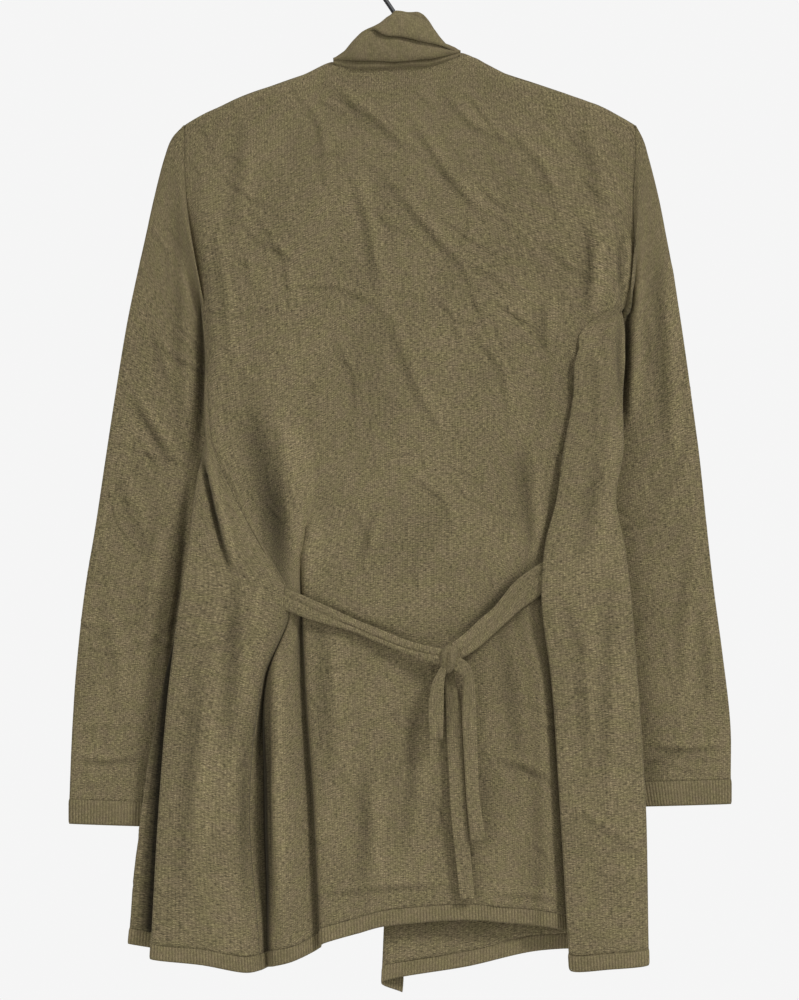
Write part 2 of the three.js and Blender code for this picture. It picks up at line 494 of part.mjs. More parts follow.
// Offsets a row of points along their normals, by less inside a tight fold so that no column passes
// its neighbour.
function offsetColumns(points, normals, offsetAt, wrap) {
  const count = points.length;
  const offsets = points.map((p, k) => offsetAt(k));
  const placed = (k) => points[k].clone().addScaledVector(normals[k], offsets[k]);
  for (let round = 0; round < 6; round += 1) {
    for (let k = 0; k < (wrap ? count : count - 1); k += 1) {
      const next = (k + 1) % count;
      const run = points[next].clone().sub(points[k]);
      if (placed(next).sub(placed(k)).dot(run) < 0.08 * run.lengthSq()) {
        offsets[k] *= 0.8;
        offsets[next] *= 0.8;
      }
    }
  }
  return points.map((p, k) => placed(k));
}

// Picks the few inner points that still follow the plain side to a quarter of a millimetre.
function plainStops(points, count, wrap) {
  const stops = [0];
  const limit = wrap ? count : count - 1;
  const point = (k) => points[k % count];
  while (stops[stops.length - 1] < limit) {
    const from = stops[stops.length - 1];
    let to = from + 1;
    while (to < limit && to - from < 8) {
      const chord = new THREE.Line3(point(from), point(to + 1));
      let worst = 0;
      for (let k = from + 1; k <= to; k += 1) {
        const nearest = chord.closestPointToPoint(point(k), true, new THREE.Vector3());
        worst = Math.max(worst, nearest.distanceTo(point(k)));
      }
      if (worst > 0.25) break;
      to += 1;
    }
    stops.push(to);
  }
  return stops;
}

// The band's closed body: outer columns at each half rib, inner columns only at the stops.
function bandGeometry(outer, plain, stops, wrap) {
  const count = outer[0].length;
  const positions = [];
  const add = (p) => positions.push(p.x, p.y, p.z) / 3 - 1;
  const outerIds = outer.map((row) => row.map(add));
  const kept = wrap ? stops.slice(0, -1) : stops;
  const plainIds = plain.map((row) => new Map(kept.map((k) => [k, add(row[k])])));
  const outerAt = (v, k) => outerIds[v][k % count];
  const plainAt = (v, k) => plainIds[v].get(wrap ? k % count : k);
  const index = [];
  const tri = (a, b, c) => index.push(a, b, c);
  for (let i = 0; i + 1 < stops.length; i += 1) {
    const from = stops[i];
    const to = stops[i + 1];
    for (let k = from; k < to; k += 1) {
      tri(outerAt(0, k), outerAt(1, k), outerAt(1, k + 1));
      tri(outerAt(0, k), outerAt(1, k + 1), outerAt(0, k + 1));
      const inner = k - from < (to - from) / 2 ? from : to;
      tri(outerAt(0, k), outerAt(0, k + 1), plainAt(0, inner));
      tri(outerAt(1, k), plainAt(1, inner), outerAt(1, k + 1));
    }
    const turn = from + Math.ceil((to - from) / 2);
    tri(plainAt(0, from), outerAt(0, turn), plainAt(0, to));
    tri(plainAt(1, from), plainAt(1, to), outerAt(1, turn));
    tri(plainAt(0, from), plainAt(0, to), plainAt(1, to));
    tri(plainAt(0, from), plainAt(1, to), plainAt(1, from));
  }
  if (!wrap) {
    const end = count - 1;
    tri(outerAt(0, 0), plainAt(0, 0), plainAt(1, 0));
    tri(outerAt(0, 0), plainAt(1, 0), outerAt(1, 0));
    tri(outerAt(0, end), plainAt(1, end), plainAt(0, end));
    tri(outerAt(0, end), outerAt(1, end), plainAt(1, end));
  }
  return solidGeometry(positions, index);
}

// The ribbed hem that hangs from a panel's lower edge, column under column.
function hemBand(panel, outside) {
  const edges = [HEM_GAP, HEM_GAP + HEM_DEPTH].map((drop) => (
    panelColumns(panel).map(({ fold, inward }) => seamPoint(panel.surface, fold, 1, drop, inward, HEM_SEAM_GAP))));
  const place = (s, v) => polylinePoint(edges[0], s).lerp(polylinePoint(edges[1], s), v);
  return ribbedBand(place, false, outside);
}

// The point at a share of the way along a row of points, each span counting alike.
function polylinePoint(points, share) {
  const at = THREE.MathUtils.clamp(share, 0, 1) * (points.length - 1);
  const i = Math.min(Math.floor(at), points.length - 2);
  return points[i].clone().lerp(points[i + 1], at - i);
}

// One ring of a hanging sleeve: a flat oval from the outer fold round the back side to the inner fold.
function sleeveRing(row, sides) {
  const outer = new THREE.Vector3(...row.outer);
  const inner = new THREE.Vector3(...row.inner);
  const ring = [];
  for (let k = 0; k < sides; k += 1) {
    const angle = (2 * Math.PI * k) / sides;
    const point = outer.clone().lerp(inner, 0.5 - 0.5 * Math.cos(angle));
    const rise = Math.sign(Math.sin(angle)) * Math.abs(Math.sin(angle)) ** 0.8;
    point.y -= row.half * rise;
    ring.push(point);
  }
  return ring;
}

// The sleeve's first ring follows the armhole: down the back panel's edge and up the front's.
function armholeRing(backEdge, frontEdge, outward) {
  const ring = [];
  const half = SLEEVE_SIDES / 2;
  for (let k = 0; k < SLEEVE_SIDES; k += 1) {
    const share = 0.5 - 0.5 * Math.cos((Math.PI * k) / half);
    const z = THREE.MathUtils.lerp(ARMHOLE_TOP, ARMPIT, share);
    const point = k <= half ? backEdge(z) : frontEdge(z);
    point.x += outward * SLEEVE_SEAM_GAP * (1 + share);
    point.z -= share * SLEEVE_SEAM_GAP;
    ring.push(point);
  }
  return ring;
}

// A flat strap from a table of stations, each with its two edges a and b and its depth y.
function strapWall(rows, thickness, bow) {
  const across = [0, 1 / 3, 2 / 3, 1];
  const grid = rows.map((row) => across.map((u) => new THREE.Vector3(
    THREE.MathUtils.lerp(row.a[0], row.b[0], u),
    row.y - bow * (1 - (2 * u - 1) ** 2),
    THREE.MathUtils.lerp(row.a[1], row.b[1], u),
  )));
  return wallOnGrid(grid, thickness, false);
}

// The collar's cross-section above the back neck seam, as y and a share between two named heights.
const COLLAR_SECTION = [
  { from: 'seam', to: 'roll', share: 0, y: -7, lift: 1.4 },
  { from: 'seam', to: 'roll', share: 0.6, y: -10, lift: 0 },
  { from: 'roll', to: 'crease', share: 0.05, y: -15, lift: 0 },
  { from: 'roll', to: 'crease', share: 0.5, y: -17.5, lift: 0 },
  { from: 'roll', to: 'crease', share: 0.95, y: -14.5, lift: 0 },
  { from: 'crease', to: 'top', share: 0.3, y: -15.5, lift: 0 },
  { from: 'crease', to: 'top', share: 0.8, y: -13, lift: 0 },
  { from: 'crease', to: 'top', share: 1, y: -9.5, lift: 0 },
  { from: 'crease', to: 'top', share: 0.75, y: -5.6, lift: 0 },
  { from: 'crease', to: 'top', share: 0.2, y: -5.2, lift: 0 },
];

function collarWall() {
  const rowAt = (place) => {
    const i = Math.min(Math.floor(place), COLLAR.length - 2);
    const t = place - i;
    const mix = (key) => THREE.MathUtils.lerp(COLLAR[i][key], COLLAR[i + 1][key], t);
    return { x: mix('x'), seam: mix('seam'), roll: mix('roll'), crease: mix('crease'), top: mix('top') };
  };
  const grid = [];
  for (const point of COLLAR_SECTION) {
    const row = [];
    for (let k = 0; k <= 2 * (COLLAR.length - 1); k += 1) {
      const station = rowAt(k / 2);
      const tall = THREE.MathUtils.clamp((station.top - station.seam) / 30, 0.25, 1);
      const z = THREE.MathUtils.lerp(station[point.from], station[point.to], point.share) + point.lift;
      row.push(new THREE.Vector3(station.x, -7 + (point.y + 7) * tall, z));
    }
    grid.push(row);
  }
  return wallOnGrid(grid, CLOTH, false);
}

// The hanger's arms: one bar of rounded section whose upper edge follows the shoulders, and dips
// below the back neck between them.
function hangerArms() {
  const section = [[-1, 0], [-0.7, 0.7], [0, 1], [0.7, 0.7], [1, 0]];
  const shoulder = (fold) => {
    const point = back.surface(fold, 0, 0);
    return { x: point.x, top: point.z, deep: THREE.MathUtils.lerp(26, 9, Math.abs(point.x) / 190) };
  };
  const stations = [...ARM_FOLDS_LEFT.map(shoulder), ...ARM_MIDDLE, ...ARM_FOLDS_RIGHT.map(shoulder)];
  const grid = stations.map((row) => {
    const axis = row.top - SHOULDER_TURN;
    const foot = row.top - row.deep;
    const upper = section.map(([y, z]) => new THREE.Vector3(row.x, y * HANGER_HALF, axis + z * HANGER_HALF));
    const lower = section.slice().reverse().map(([y, z]) => (
      new THREE.Vector3(row.x, y * HANGER_HALF * 0.8, foot + (1 - z) * HANGER_HALF * 0.4 - 2)));
    return upper.concat(lower);
  });
  const sides = grid[0].length;
  const positions = grid.flat().flatMap((p) => p.toArray());
  const index = [];
  for (let r = 0; r + 1 < grid.length; r += 1) {
    for (let c = 0; c < sides; c += 1) {
      const next = (c + 1) % sides;
      index.push(r * sides + c, (r + 1) * sides + c, (r + 1) * sides + next);
      index.push(r * sides + c, (r + 1) * sides + next, r * sides + next);
    }
  }
  const tail = (grid.length - 1) * sides;
  for (let c = 1; c + 1 < sides; c += 1) {
    index.push(0, c, c + 1);
    index.push(tail, tail + c + 1, tail + c);
  }
  return solidGeometry(positions, index);
}

// The hook: a wire that rises from the arms' middle, swings left and turns over the rail.
function hookWire() {
  const path = [
    new THREE.Vector3(2, 0, HOOK_FOOT),
    new THREE.Vector3(1.6, 0, -66),
    new THREE.Vector3(-7, 0, -49.5),
    new THREE.Vector3(-14, 0, -39),
  ];
  const start = THREE.MathUtils.degToRad(205);
  for (let k = 0; k <= 9; k += 1) {
    const angle = THREE.MathUtils.lerp(start, HOOK_TIP, k / 9);
    path.push(new THREE.Vector3(
      HOOK_RADIUS * Math.cos(angle),
      0,
      WIRE - HOOK_RADIUS + HOOK_RADIUS * Math.sin(angle),
    ));
  }
  const round = new THREE.Shape();
  round.absarc(0, 0, WIRE, 0, 2 * Math.PI, false);
  return new THREE.ExtrudeGeometry(round, {
    steps: 34,
    curveSegments: 4,
    bevelEnabled: false,
    extrudePath: new THREE.CatmullRomCurve3(path, false, 'centripetal'),
  });
}

// The knot: a soft pillow, fuller where one tie wraps over the other.
function knotBody() {
  const geometry = new THREE.SphereGeometry(1, 16, 12);
  geometry.deleteAttribute('normal');
  geometry.deleteAttribute('uv');
  const place = geometry.getAttribute('position');
  for (let i = 0; i < place.count; i += 1) {
    const p = new THREE.Vector3().fromBufferAttribute(place, i);
    const blunt = (v) => Math.sign(v) * Math.abs(v) ** 0.55;
    const wrap = 1 + 0.16 * Math.exp(-((p.x - 0.45) ** 2) / 0.08);
    place.setXYZ(i, KNOT.halfX * blunt(p.x), KNOT.halfY * blunt(p.y) * wrap, KNOT.halfZ * blunt(p.z));
  }
  return mergeVertices(geometry, 1e-4);
}

function named(name, geometry, finish) {
  const mesh = new THREE.Mesh(geometry, new THREE.MeshStandardMaterial(finish));
  mesh.name = name;
  return mesh;
}

// The three panels: first and last are the table rows of their edges.
const back = { surface: panelSurface(BACK, -1), first: 1, last: BACK.length - 2, seamAtLast: true };
const leftFront = { surface: panelSurface(LEFT_FRONT, 1), first: 1, last: LEFT_FRONT.length - 1 };
const rightFront = { surface: panelSurface(RIGHT_FRONT, 1), first: 1, last: RIGHT_FRONT.length - 1 };

// A panel's edge as a function of height, along the straight spans between its levels.
function edgeOf(panel, fold) {
  const points = LEVELS.map(({ share, drop }) => panel.surface(fold, share, drop));
  return (z) => {
    let i = 0;
    while (i < points.length - 2 && points[i + 1].z > z) i += 1;
    const t = (points[i].z - z) / (points[i].z - points[i + 1].z);
    return points[i].clone().lerp(points[i + 1], t);
  };
}
const leftArmhole = armholeRing(edgeOf(back, back.first), edgeOf(leftFront, leftFront.first), -1);
const rightArmhole = armholeRing(edgeOf(back, back.last), edgeOf(rightFront, rightFront.first), 1);

// A sleeve and the cuff that carries on from its last ring.
function sleeve(table, firstRing) {
  const rings = [firstRing, ...table.map((row) => sleeveRing(row, SLEEVE_SIDES))];
  return wallOnGrid(rings, CLOTH, true);
}

function cuff(row, outside) {
  const place = (s, v) => {
    const angle = 2 * Math.PI * s;
    const outer = new THREE.Vector3(...row.outer);
    const inner = new THREE.Vector3(...row.inner);
    const point = outer.lerp(inner, 0.5 - 0.5 * Math.cos(angle));
    point.y -= row.half * Math.sign(Math.sin(angle)) * Math.abs(Math.sin(angle)) ** 0.8;
    point.z -= SEAM_GAP + v * CUFF_DEPTH;
    return point;
  };
  return ribbedBand(place, true, outside);
}

const group = new THREE.Group();
group.add(
  named('back', panelWall(back), KNIT),
  named('front_left', panelWall(leftFront), KNIT),
  named('front_right', panelWall(rightFront), KNIT),
  named('sleeve_left', sleeve(LEFT_SLEEVE, leftArmhole), KNIT),
  named('sleeve_right', sleeve(RIGHT_SLEEVE, rightArmhole), KNIT),
  named('cuff_left', cuff(LEFT_SLEEVE[LEFT_SLEEVE.length - 1], 1), KNIT),
  named('cuff_right', cuff(RIGHT_SLEEVE[RIGHT_SLEEVE.length - 1], -1), KNIT),
  named('hem_back', hemBand(back, 1), KNIT),
  named('hem_left', hemBand(leftFront, -1), KNIT),
  named('hem_right', hemBand(rightFront, 1), KNIT),
  named('collar', collarWall(), KNIT),
  named('tie_left', strapWall(LEFT_TIE, TIE_CLOTH, 0.8), KNIT),
  named('tie_right', strapWall(RIGHT_TIE, TIE_CLOTH, 0.8), KNIT),
  named('knot', knotBody().translate(KNOT.x, KNOT.y, KNOT.z), KNIT),
  named('tie_loop', strapWall(LOOP, TIE_CLOTH, 0), KNIT),
  named('tie_end_long', strapWall(LONG_END, TIE_CLOTH, 0), KNIT),
  named('tie_end_short', strapWall(SHORT_END, TIE_CLOTH, 0), KNIT),
  named('hanger_arms', hangerArms(), ARM_FINISH),
  named('hanger_hook', hookWire(), WIRE_FINISH),
);

export default group;
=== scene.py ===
"""A fine-gauge open cardigan with a rolled collar and a half bow at its back, on a plain hanger."""

import math

import bpy
import numpy as np
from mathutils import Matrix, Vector
from mathutils.bvhtree import BVHTree


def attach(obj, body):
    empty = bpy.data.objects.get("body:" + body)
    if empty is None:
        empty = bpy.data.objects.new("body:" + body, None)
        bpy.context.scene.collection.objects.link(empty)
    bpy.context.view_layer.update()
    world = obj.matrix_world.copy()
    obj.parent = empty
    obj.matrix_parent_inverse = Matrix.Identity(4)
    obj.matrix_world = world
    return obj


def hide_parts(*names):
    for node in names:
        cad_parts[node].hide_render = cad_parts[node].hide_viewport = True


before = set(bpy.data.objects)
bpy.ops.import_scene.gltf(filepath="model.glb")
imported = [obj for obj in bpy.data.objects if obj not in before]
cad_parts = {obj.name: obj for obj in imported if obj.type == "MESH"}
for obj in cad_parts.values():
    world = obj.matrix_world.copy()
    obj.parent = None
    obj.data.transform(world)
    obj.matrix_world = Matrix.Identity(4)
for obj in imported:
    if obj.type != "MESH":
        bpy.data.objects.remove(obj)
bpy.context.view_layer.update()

# Tables are in millimetres: x to the right of the view, y away from it, z up, from the hook's inner top.
# MM turns them into the frame's metres. CLOTH and TIE_CLOTH are thicknesses.
MM = 0.001
CLOTH = 1.2
TIE_CLOTH = 1.8
SEAM_GAP = 0.1

# Below zero the ribs overlap the cloth above them.
HEM_GAP = -0.4
CUFF_GAP = -0.4
HEM_DEPTH = 14
CUFF_DEPTH = 22
RIB_PITCH = 2.7
RIB_RISE = 0.75
RIB_COLUMNS = 6
SHOULDER_TURN = 6.4
ARMHOLE_TOP = -149.5
ARMPIT = -303
SLEEVE_SEAM_GAP = 0.08

# The painted light and shade of ribs, in the terms of the painted-shade attribute: painted light on a crest,
# painted shade down to a groove, and painted shade at the strip's ends.
CREST_PAINTED_LIGHT = 1.4
GROOVE_PAINTED_SHADE = 6
END_PAINTED_SHADE = 1.6

# The share of a sleeve's creases that is left on its far side.
FAR_CREASES = 0.45

HEIGHTS = [-127, -215, -303, -347, -391, -435, -479, -518.5, -558.5, -637.5, -743, -866.5]

# Each line of a panel: its top, its hem, whether it turns over the hanger, and x and y at HEIGHTS.
# The first line, and the back's last, only steer the curve past the seam.
BACK = [
    (-158, -881.5, 1, [-202.5, -199, -175, -172, -173.5, -170.5, -155, -135.5, -112.5, -137.5, -146, -139],
     [-6, 0, 9, 5.5, -2.5, -7, -13, -20, -26, -18, -17, -16]),
    (-149.5, -879.5, 1, [-192, -190, -177.5, -173, -170.5, -165.5, -146, -125, -102, -123, -134.5, -126.5],
     [-6, -2.5, 5, 1, -6, -9.5, -13, -19, -24, -6, 0, -4]),
    (-138.5, -877.5, 1, [-172.5, -175, -165, -162, -156, -149.5, -135.5, -118, -98.5, -119.5, -123, -119.5],
     [-6.5, -8.5, -9, -9.5, -8.5, -10, -13, -18, -22.5, 4, 6, 4]),
    (-131.5, -876, 1, [-156.5, -154, -143.5, -141, -138, -132, -123, -110, -95, -117, -118, -113.5],
     [-6.5, -8, -9, -9.5, -10, -11, -13, -17, -20, -10, -12, -8]),
    (-121.5, -872, 1, [-134, -131, -123, -119.5, -116, -112.5, -105.5, -100.5, -91.5, -100.5, -98.5, -97.5],
     [-6.5, -8, -9, -9.5, -10, -11, -11, -14, -13, -13, -14, -10.5]),
    (-109.5, -860.5, 1, [-98.5, -97, -90, -87, -85.5, -82.5, -81, -87, -89, -86, -79, -73],
     [-6.5, -8, -8, -8, -8, -7, -6, -5, -4, 0, 2, 2]),
    (-104, -856.5, 1, [-84.5, -82, -74, -72, -70.5, -70.5, -71.5, -82.5, -85, -83, -76, -70.5],
     [-6.5, -8, -8.5, -9, -9, -9, -9, -10, -10, -10, -9, -8]),
    (-93.5, -848, 1, [-60, -57, -51, -49.5, -47.5, -46.5, -46, -51, -54.5, -53, -47.5, -42],
     [-6.5, -8, -9, -9, -9, -9, -9.5, -10, -10, -9, -8, -7]),
    (-97, -847, 0, [-53.5, -51, -46, -44.5, -43, -42, -42, -46.5, -50, -48, -43, -38],
     [-6.8, -8, -9, -9, -9, -9, -9.5, -10, -10, -9, -8, -7]),
    (-98.5, -841.5, 0, [-30, -29, -26.5, -25.5, -24.5, -24, -23, -24.5, -26.5, -24.5, -21, -18.5],
     [-7, -8, -9, -9, -9.5, -9.5, -10, -11, -11, -9, -8, -7]),
    (-96.5, -838, 0, [0, 0, 1, 2, 2, 2.5, 3.5, 3.5, 3.5, 5.5, 9, 12.5],
     [-7, -8, -9, -9.5, -10, -10, -11, -11.5, -12, -10, -8, -7]),
    (-93, -835.5, 0, [26.5, 28, 31.5, 33.5, 35, 37, 38.5, 38.5, 38.5, 38.5, 42, 47.5],
     [-7, -8, -9, -9.5, -10, -10, -11, -11.5, -12, -10, -8, -7]),
    (-89.5, -836, 0, [47.5, 51.5, 59, 63, 66, 66.5, 65, 64, 62, 65, 70.5, 76],
     [-6.8, -8, -8.7, -9, -9.3, -9.3, -9.5, -10.3, -10.5, -9.5, -7.7, -6.7]),
    (-85.5, -837, 1, [53.5, 58, 67, 71.5, 74, 74, 72, 70.5, 68.5, 72, 77.5, 82.5],
     [-6.5, -8, -8.5, -9, -9, -9, -9, -10, -10, -9, -7.5, -6.5]),
    (-107, -840, 1, [99.5, 105.5, 122.5, 123, 116, 106.5, 107.5, 107.5, 97, 105.5, 112.5, 114.5],
     [-6.5, -7, -5.5, -5, -5, -4.5, -4.5, -6, -8, -4, -3, -3]),
    (-117.5, -841.5, 1, [132, 137.5, 149.5, 144.5, 135.5, 126.5, 122.5, 117, 107.5, 121.5, 126, 128.5],
     [-6.5, -8, -9.5, -9, -8, -8, -8, -10, -12, -11, -10, -9]),
    (-132, -848, 1, [172.5, 181, 185, 166, 160, 150.5, 141.5, 131, 124, 134, 141, 148.5],
     [-6.5, -7.4, -8.6, -4, -3.2, -3.2, -3.2, -5.5, -10, -4, -3, -1]),
    (-149.5, -862, 1, [206, 204, 200, 173, 164, 156, 147, 136.5, 129.5, 139, 146, 154],
     [-6, -2.5, 4, -5, -6.5, -6.5, -7, -9.5, -14, -7.5, -6.5, -6]),
    (-158, -866, 1, [216.5, 214.5, 198.5, 167, 160, 150.5, 141.5, 132, 126.5, 135.5, 142.5, 150.5],
     [-6, 0, 7, -8.5, -9.5, -10, -11, -14, -18.5, -12.5, -11.5, -10.5]),
]
LEFT_FRONT = [
    (-157, -877.5, 1, [-202.5, -195.5, -165, -162, -156, -149.5, -135.5, -118, -98.5, -119.5, -123, -119.5],
     [6, 6, -9, -9.5, -8.5, -10, -13, -18, -22.5, 4, 6, 4]),
    (-149.5, -879.5, 1, [-192, -185, -177.5, -173, -170.5, -165.5, -146, -125, -102, -123, -134.5, -126.5],
     [6, 6, 5, 1, -6, -9.5, -13, -19, -24, -6, 0, -4]),
    (-139.8, -881, 1, [-176, -172.5, -174, -172, -173.5, -170.5, -155, -135.5, -112.5, -137.5, -146, -139],
     [6.5, 6.8, 8, 5.5, -2.5, -7, -13, -20, -26, -18, -17, -16]),
    (-132.5, -874, 1, [-160, -156.5, -163.5, -166.5, -166.5, -174, -169, -158.5, -146, -170.5, -181.5, -176],
     [6.5, 7, 8.5, 7.5, 2.5, -3, -11, -18, -22, -22, -21, -21]),
    (-125.2, -869, 1, [-144.5, -141, -149.5, -146, -157.5, -174.5, -183, -187.5, -193.5, -204, -213, -220],
     [6.5, 7, 6.5, 6, 5, 0.5, -5, -10, -13, -13, -12, -12]),
    (-119.6, -865, 1, [-130, -127.5, -126.5, -134, -148, -164.5, -171.5, -172.5, -176, -183, -193.5, -199],
     [6.5, 7, 7.5, 7.5, 6.5, 3.8, 0.5, -1, -3, -3, -2, 0]),
    (-115, -857, 1, [-116, -114.5, -114.5, -121.5, -137.5, -160, -175, -183, -190, -209.5, -229, -241],
     [6.5, 7, 8, 8, 8, 7.5, 5, 4, 3.5, 3.5, 4, 7]),
    (-110, -860, 1, [-102, -101, -100.5, -105.5, -118, -134, -146, -151.5, -155, -167, -181.5, -190],
     [6.5, 7.5, 8.5, 8.5, 9, 9, 9, 9, 9, 9, 9.5, 13]),
    (-104.8, -860, 1, [-87, -87, -85.5, -88, -95, -104, -112.5, -116, -119.5, -128.5, -135.5, -139],
     [7, 8, 9, 9.5, 10, 10.5, 11, 11, 11, 11, 11, 14]),
    (-96.5, -857.5, 1, [-62.5, -61.5, -58, -59, -60.5, -63.5, -67, -68.5, -70.5, -72, -72, -72],
     [9, 12, 15, 16, 17, 18, 19, 19, 19, 19, 20, 21]),
    (-107.5, -859, 0, [-74, -90, -103, -105.5, -107.5, -109, -111, -111, -111, -111, -111, -112],
     [13, 23, 26, 26.5, 27, 27, 27, 27, 27, 27, 27, 27]),
]
RIGHT_FRONT = [
    (-156, -850, 1, [216.5, 209.5, 185, 166, 160, 150.5, 141.5, 131, 124, 134, 141, 148.5],
     [6, 6, -8.6, -4, -3.2, -3.2, -3.2, -5.5, -10, -4, -3, -1]),
    (-149.5, -862, 1, [206, 199, 200, 173, 164, 156, 147, 136.5, 129.5, 139, 146, 154],
     [6, 6, 4, -5, -6.5, -6.5, -7, -9.5, -14, -7.5, -6.5, -6]),
    (-140, -871, 1, [190, 186.5, 198.5, 167, 160, 150.5, 141.5, 132, 126.5, 135.5, 142.5, 150.5],
     [6.5, 6.8, 6.5, -8.8, -9.5, -10, -11, -14, -18.5, -12.5, -11.5, -10.5]),
    (-132, -879, 1, [174, 172.5, 196.5, 156, 150.5, 142.5, 135.5, 126, 122.5, 131.5, 139, 146.5],
     [6.5, 6.8, 6.8, -12, -12.5, -14, -15, -18, -22, -17, -16, -15]),
    (-126.6, -878, 1, [158.5, 158.5, 193.5, 183, 178, 169, 163.5, 160, 160, 169, 176, 181.5],
     [6.5, 7, 7, -11.5, -13, -16, -17, -19, -22, -20, -19, -18]),
    (-121.5, -874.5, 1, [144.5, 144.5, 191, 196, 194, 194.5, 188, 195.5, 200.5, 207, 214, 216.5],
     [6.5, 7, 7.4, 1, -3, -5, -6, -6, -6, -6, -6, -6]),
    (-116.6, -863, 1, [130, 130, 181, 188, 174, 172.5, 165.5, 167, 167, 170.5, 174, 176],
     [6.5, 7.3, 7, 6, 7, 8, 8, 8, 8, 8, 8, 8]),
    (-111.4, -863.5, 1, [114.5, 114.5, 139, 139, 132, 126.5, 121.5, 121.5, 121.5, 121.5, 121.5, 121.5],
     [6.5, 7.5, 8, 8, 9, 9.5, 10, 10, 10, 10, 10.5, 11]),
    (-101.8, -877, 1, [86, 86, 90.5, 89, 86, 82, 77.5, 74, 70.5, 65, 61.5, 60],
     [7.8, 9, 11, 12, 12.5, 13, 13, 13, 13, 12, 11, 10]),
    (-89.5, -892, 1, [56.5, 44, 30, 23, 16.5, 11.5, 6, 2.5, 0, -5.5, -10.5, -16],
     [9.5, 13, 16, 17, 18, 18, 18, 17, 16, 14, 12, 9.5]),
    (-100.5, -901, 0, [67, 79, 77.5, 70.5, 63.5, 54.5, 46, 38.5, 33.5, 23, 12.5, 3.5],
     [13, 24, 27, 27, 27, 27, 26, 25, 24, 21, 18, 19]),
]

# The right side's fold swings out close under the armhole, between these two heights: how far each line of
# the two panels goes there, across and forward.
FOLD_TOP = -304
FOLD_FOOT = -347
FOLD_SHIFTS = {
    id(BACK): {16: (-2, 0), 17: (-3, -0.5), 18: (-8, -2)},
    id(RIGHT_FRONT): {0: (-2, 0), 1: (-3, -0.5), 2: (-8, -2), 3: (-13, -4.4), 4: (-4, -5), 5: (1, 0)},
}

# The fold's beginning lies flush on the back between these two heights: its inner layer, up to line
# FLUSH_TURN, FLUSH_BELOW behind the back's face, and its visible layer, from there to line FLUSH_LAST,
# FLUSH_STEP nearer. FLUSH_FADE and FLUSH_MARGIN are how softly it starts and how far it is looked for.
FLUSH_FROM = -352
FLUSH_TO = -303
FLUSH_FADE = 16
FLUSH_MARGIN = 30
FLUSH_LAST = 3.5
FLUSH_TURN = 2.3
FLUSH_BELOW = 1.6
FLUSH_STEP = 2.35

# Rings of a hanging sleeve: outer fold, inner fold and half depth.
LEFT_SLEEVE = [
    ([-202.5, 0, -161], [-175.5, 0.5, -305.5], 6.6), ([-209, 0.5, -178], [-173, 5, -312], 6.4),
    ([-218, 2, -212.5], [-167, 13, -323], 5.6), ([-225.5, 5, -246], [-163.5, 16, -338.5], 7),
    ([-232.5, 9, -276.5], [-149.5, 18.5, -360.5], 6.5), ([-242, 14, -320.5], [-135.5, 20, -393], 6.3),
    ([-252.5, 18, -382.5], [-132, 20.5, -431.5], 6), ([-262, 20, -444], [-141.5, 20.5, -472], 6),
    ([-270.5, 20.5, -501], [-156.5, 20.5, -518.5], 6), ([-280, 20.5, -558.5], [-171.5, 20.5, -569], 6),
    ([-286.5, 20.5, -615.5], [-183, 20.5, -622.5], 6), ([-291, 20.5, -677], [-192.5, 20.5, -682.5], 6),
    ([-293.8, 20.5, -744], [-200, 20.5, -747], 6),
]
RIGHT_SLEEVE = [
    ([212, 0, -161.5], [201.5, 0.5, -305.5], 6.6), ([217, 0.5, -178], [199.5, 4.8, -312], 6.4),
    ([226, 2, -213.5], [192, 12.5, -323], 5.6), ([233, 5, -248.5], [185.5, 16, -338.5], 7),
    ([238.5, 9, -276.5], [170.5, 18.5, -360.5], 6.5), ([246.5, 14, -325], [156.5, 20, -393], 6.3),
    ([254.8, 18, -382.5], [149.5, 20.5, -431.5], 6), ([263, 20, -444], [155, 20.5, -472], 6),
    ([269, 20.5, -501], [163.5, 20.5, -518.5], 6), ([275.2, 20.5, -556.5], [173.5, 20.5, -565.5], 6),
    ([282.8, 20.5, -613], [181.5, 20.5, -618], 6), ([290, 20.5, -677], [190, 20.5, -679.5], 6),
    ([290.5, 20.5, -726.5], [196, 20.5, -729], 6),
]

# Stations of a strap: the x and z of its two edges, and its depth y.
LEFT_TIE = [
    (-103, -556, -104.5, -574.5, -24.6), (-84, -564, -88, -581.5, -22),
    (-63.5, -573.5, -64, -589, -17.6), (-39.5, -584.5, -41.5, -595.5, -16),
    (-18.5, -593, -19.5, -605, -16.4), (2.5, -601.5, 2.5, -614, -19), (24, -607.5, 24, -621.5, -23.5),
    (38, -610, 38, -626, -26),
]
RIGHT_TIE = [
    (125.4, -532.5, 124.1, -560, -16.8), (112, -541, 117.5, -566, -16), (99, -551, 106.5, -573.5, -15.6),
    (89, -563, 94.5, -584, -15.8), (80, -574, 83.5, -594, -16.6), (68, -584, 73, -603.5, -18.4),
    (57, -594.5, 61.5, -612.5, -21.4), (44, -604.5, 45.5, -622, -25.6),
]
LONG_END = [
    (36, -620, 44, -620, -23), (37.5, -641, 47.5, -641, -19.5), (38.5, -663, 51.5, -663, -17.5),
    (39, -685, 53, -685, -17), (41, -716.5, 54.5, -716.5, -16.5), (42.5, -749, 56.5, -749, -16),
    (46.5, -789.5, 60, -789.5, -15.5), (51, -830, 64, -830, -15),
]
SHORT_END = [
    (45, -615.5, 44, -627, -29), (54, -619, 53, -633, -29.3), (59.5, -625, 54.5, -637.5, -26),
    (63, -634, 53.5, -646.5, -24), (64.5, -655, 53, -658.5, -22.5), (65.5, -674.5, 53, -674.5, -22),
    (66.5, -705, 54.5, -705, -21.5), (68, -739.5, 56.5, -739.5, -21), (71, -760.5, 58.5, -760.5, -20.5),
    (74, -778, 60.5, -778.5, -20),
]
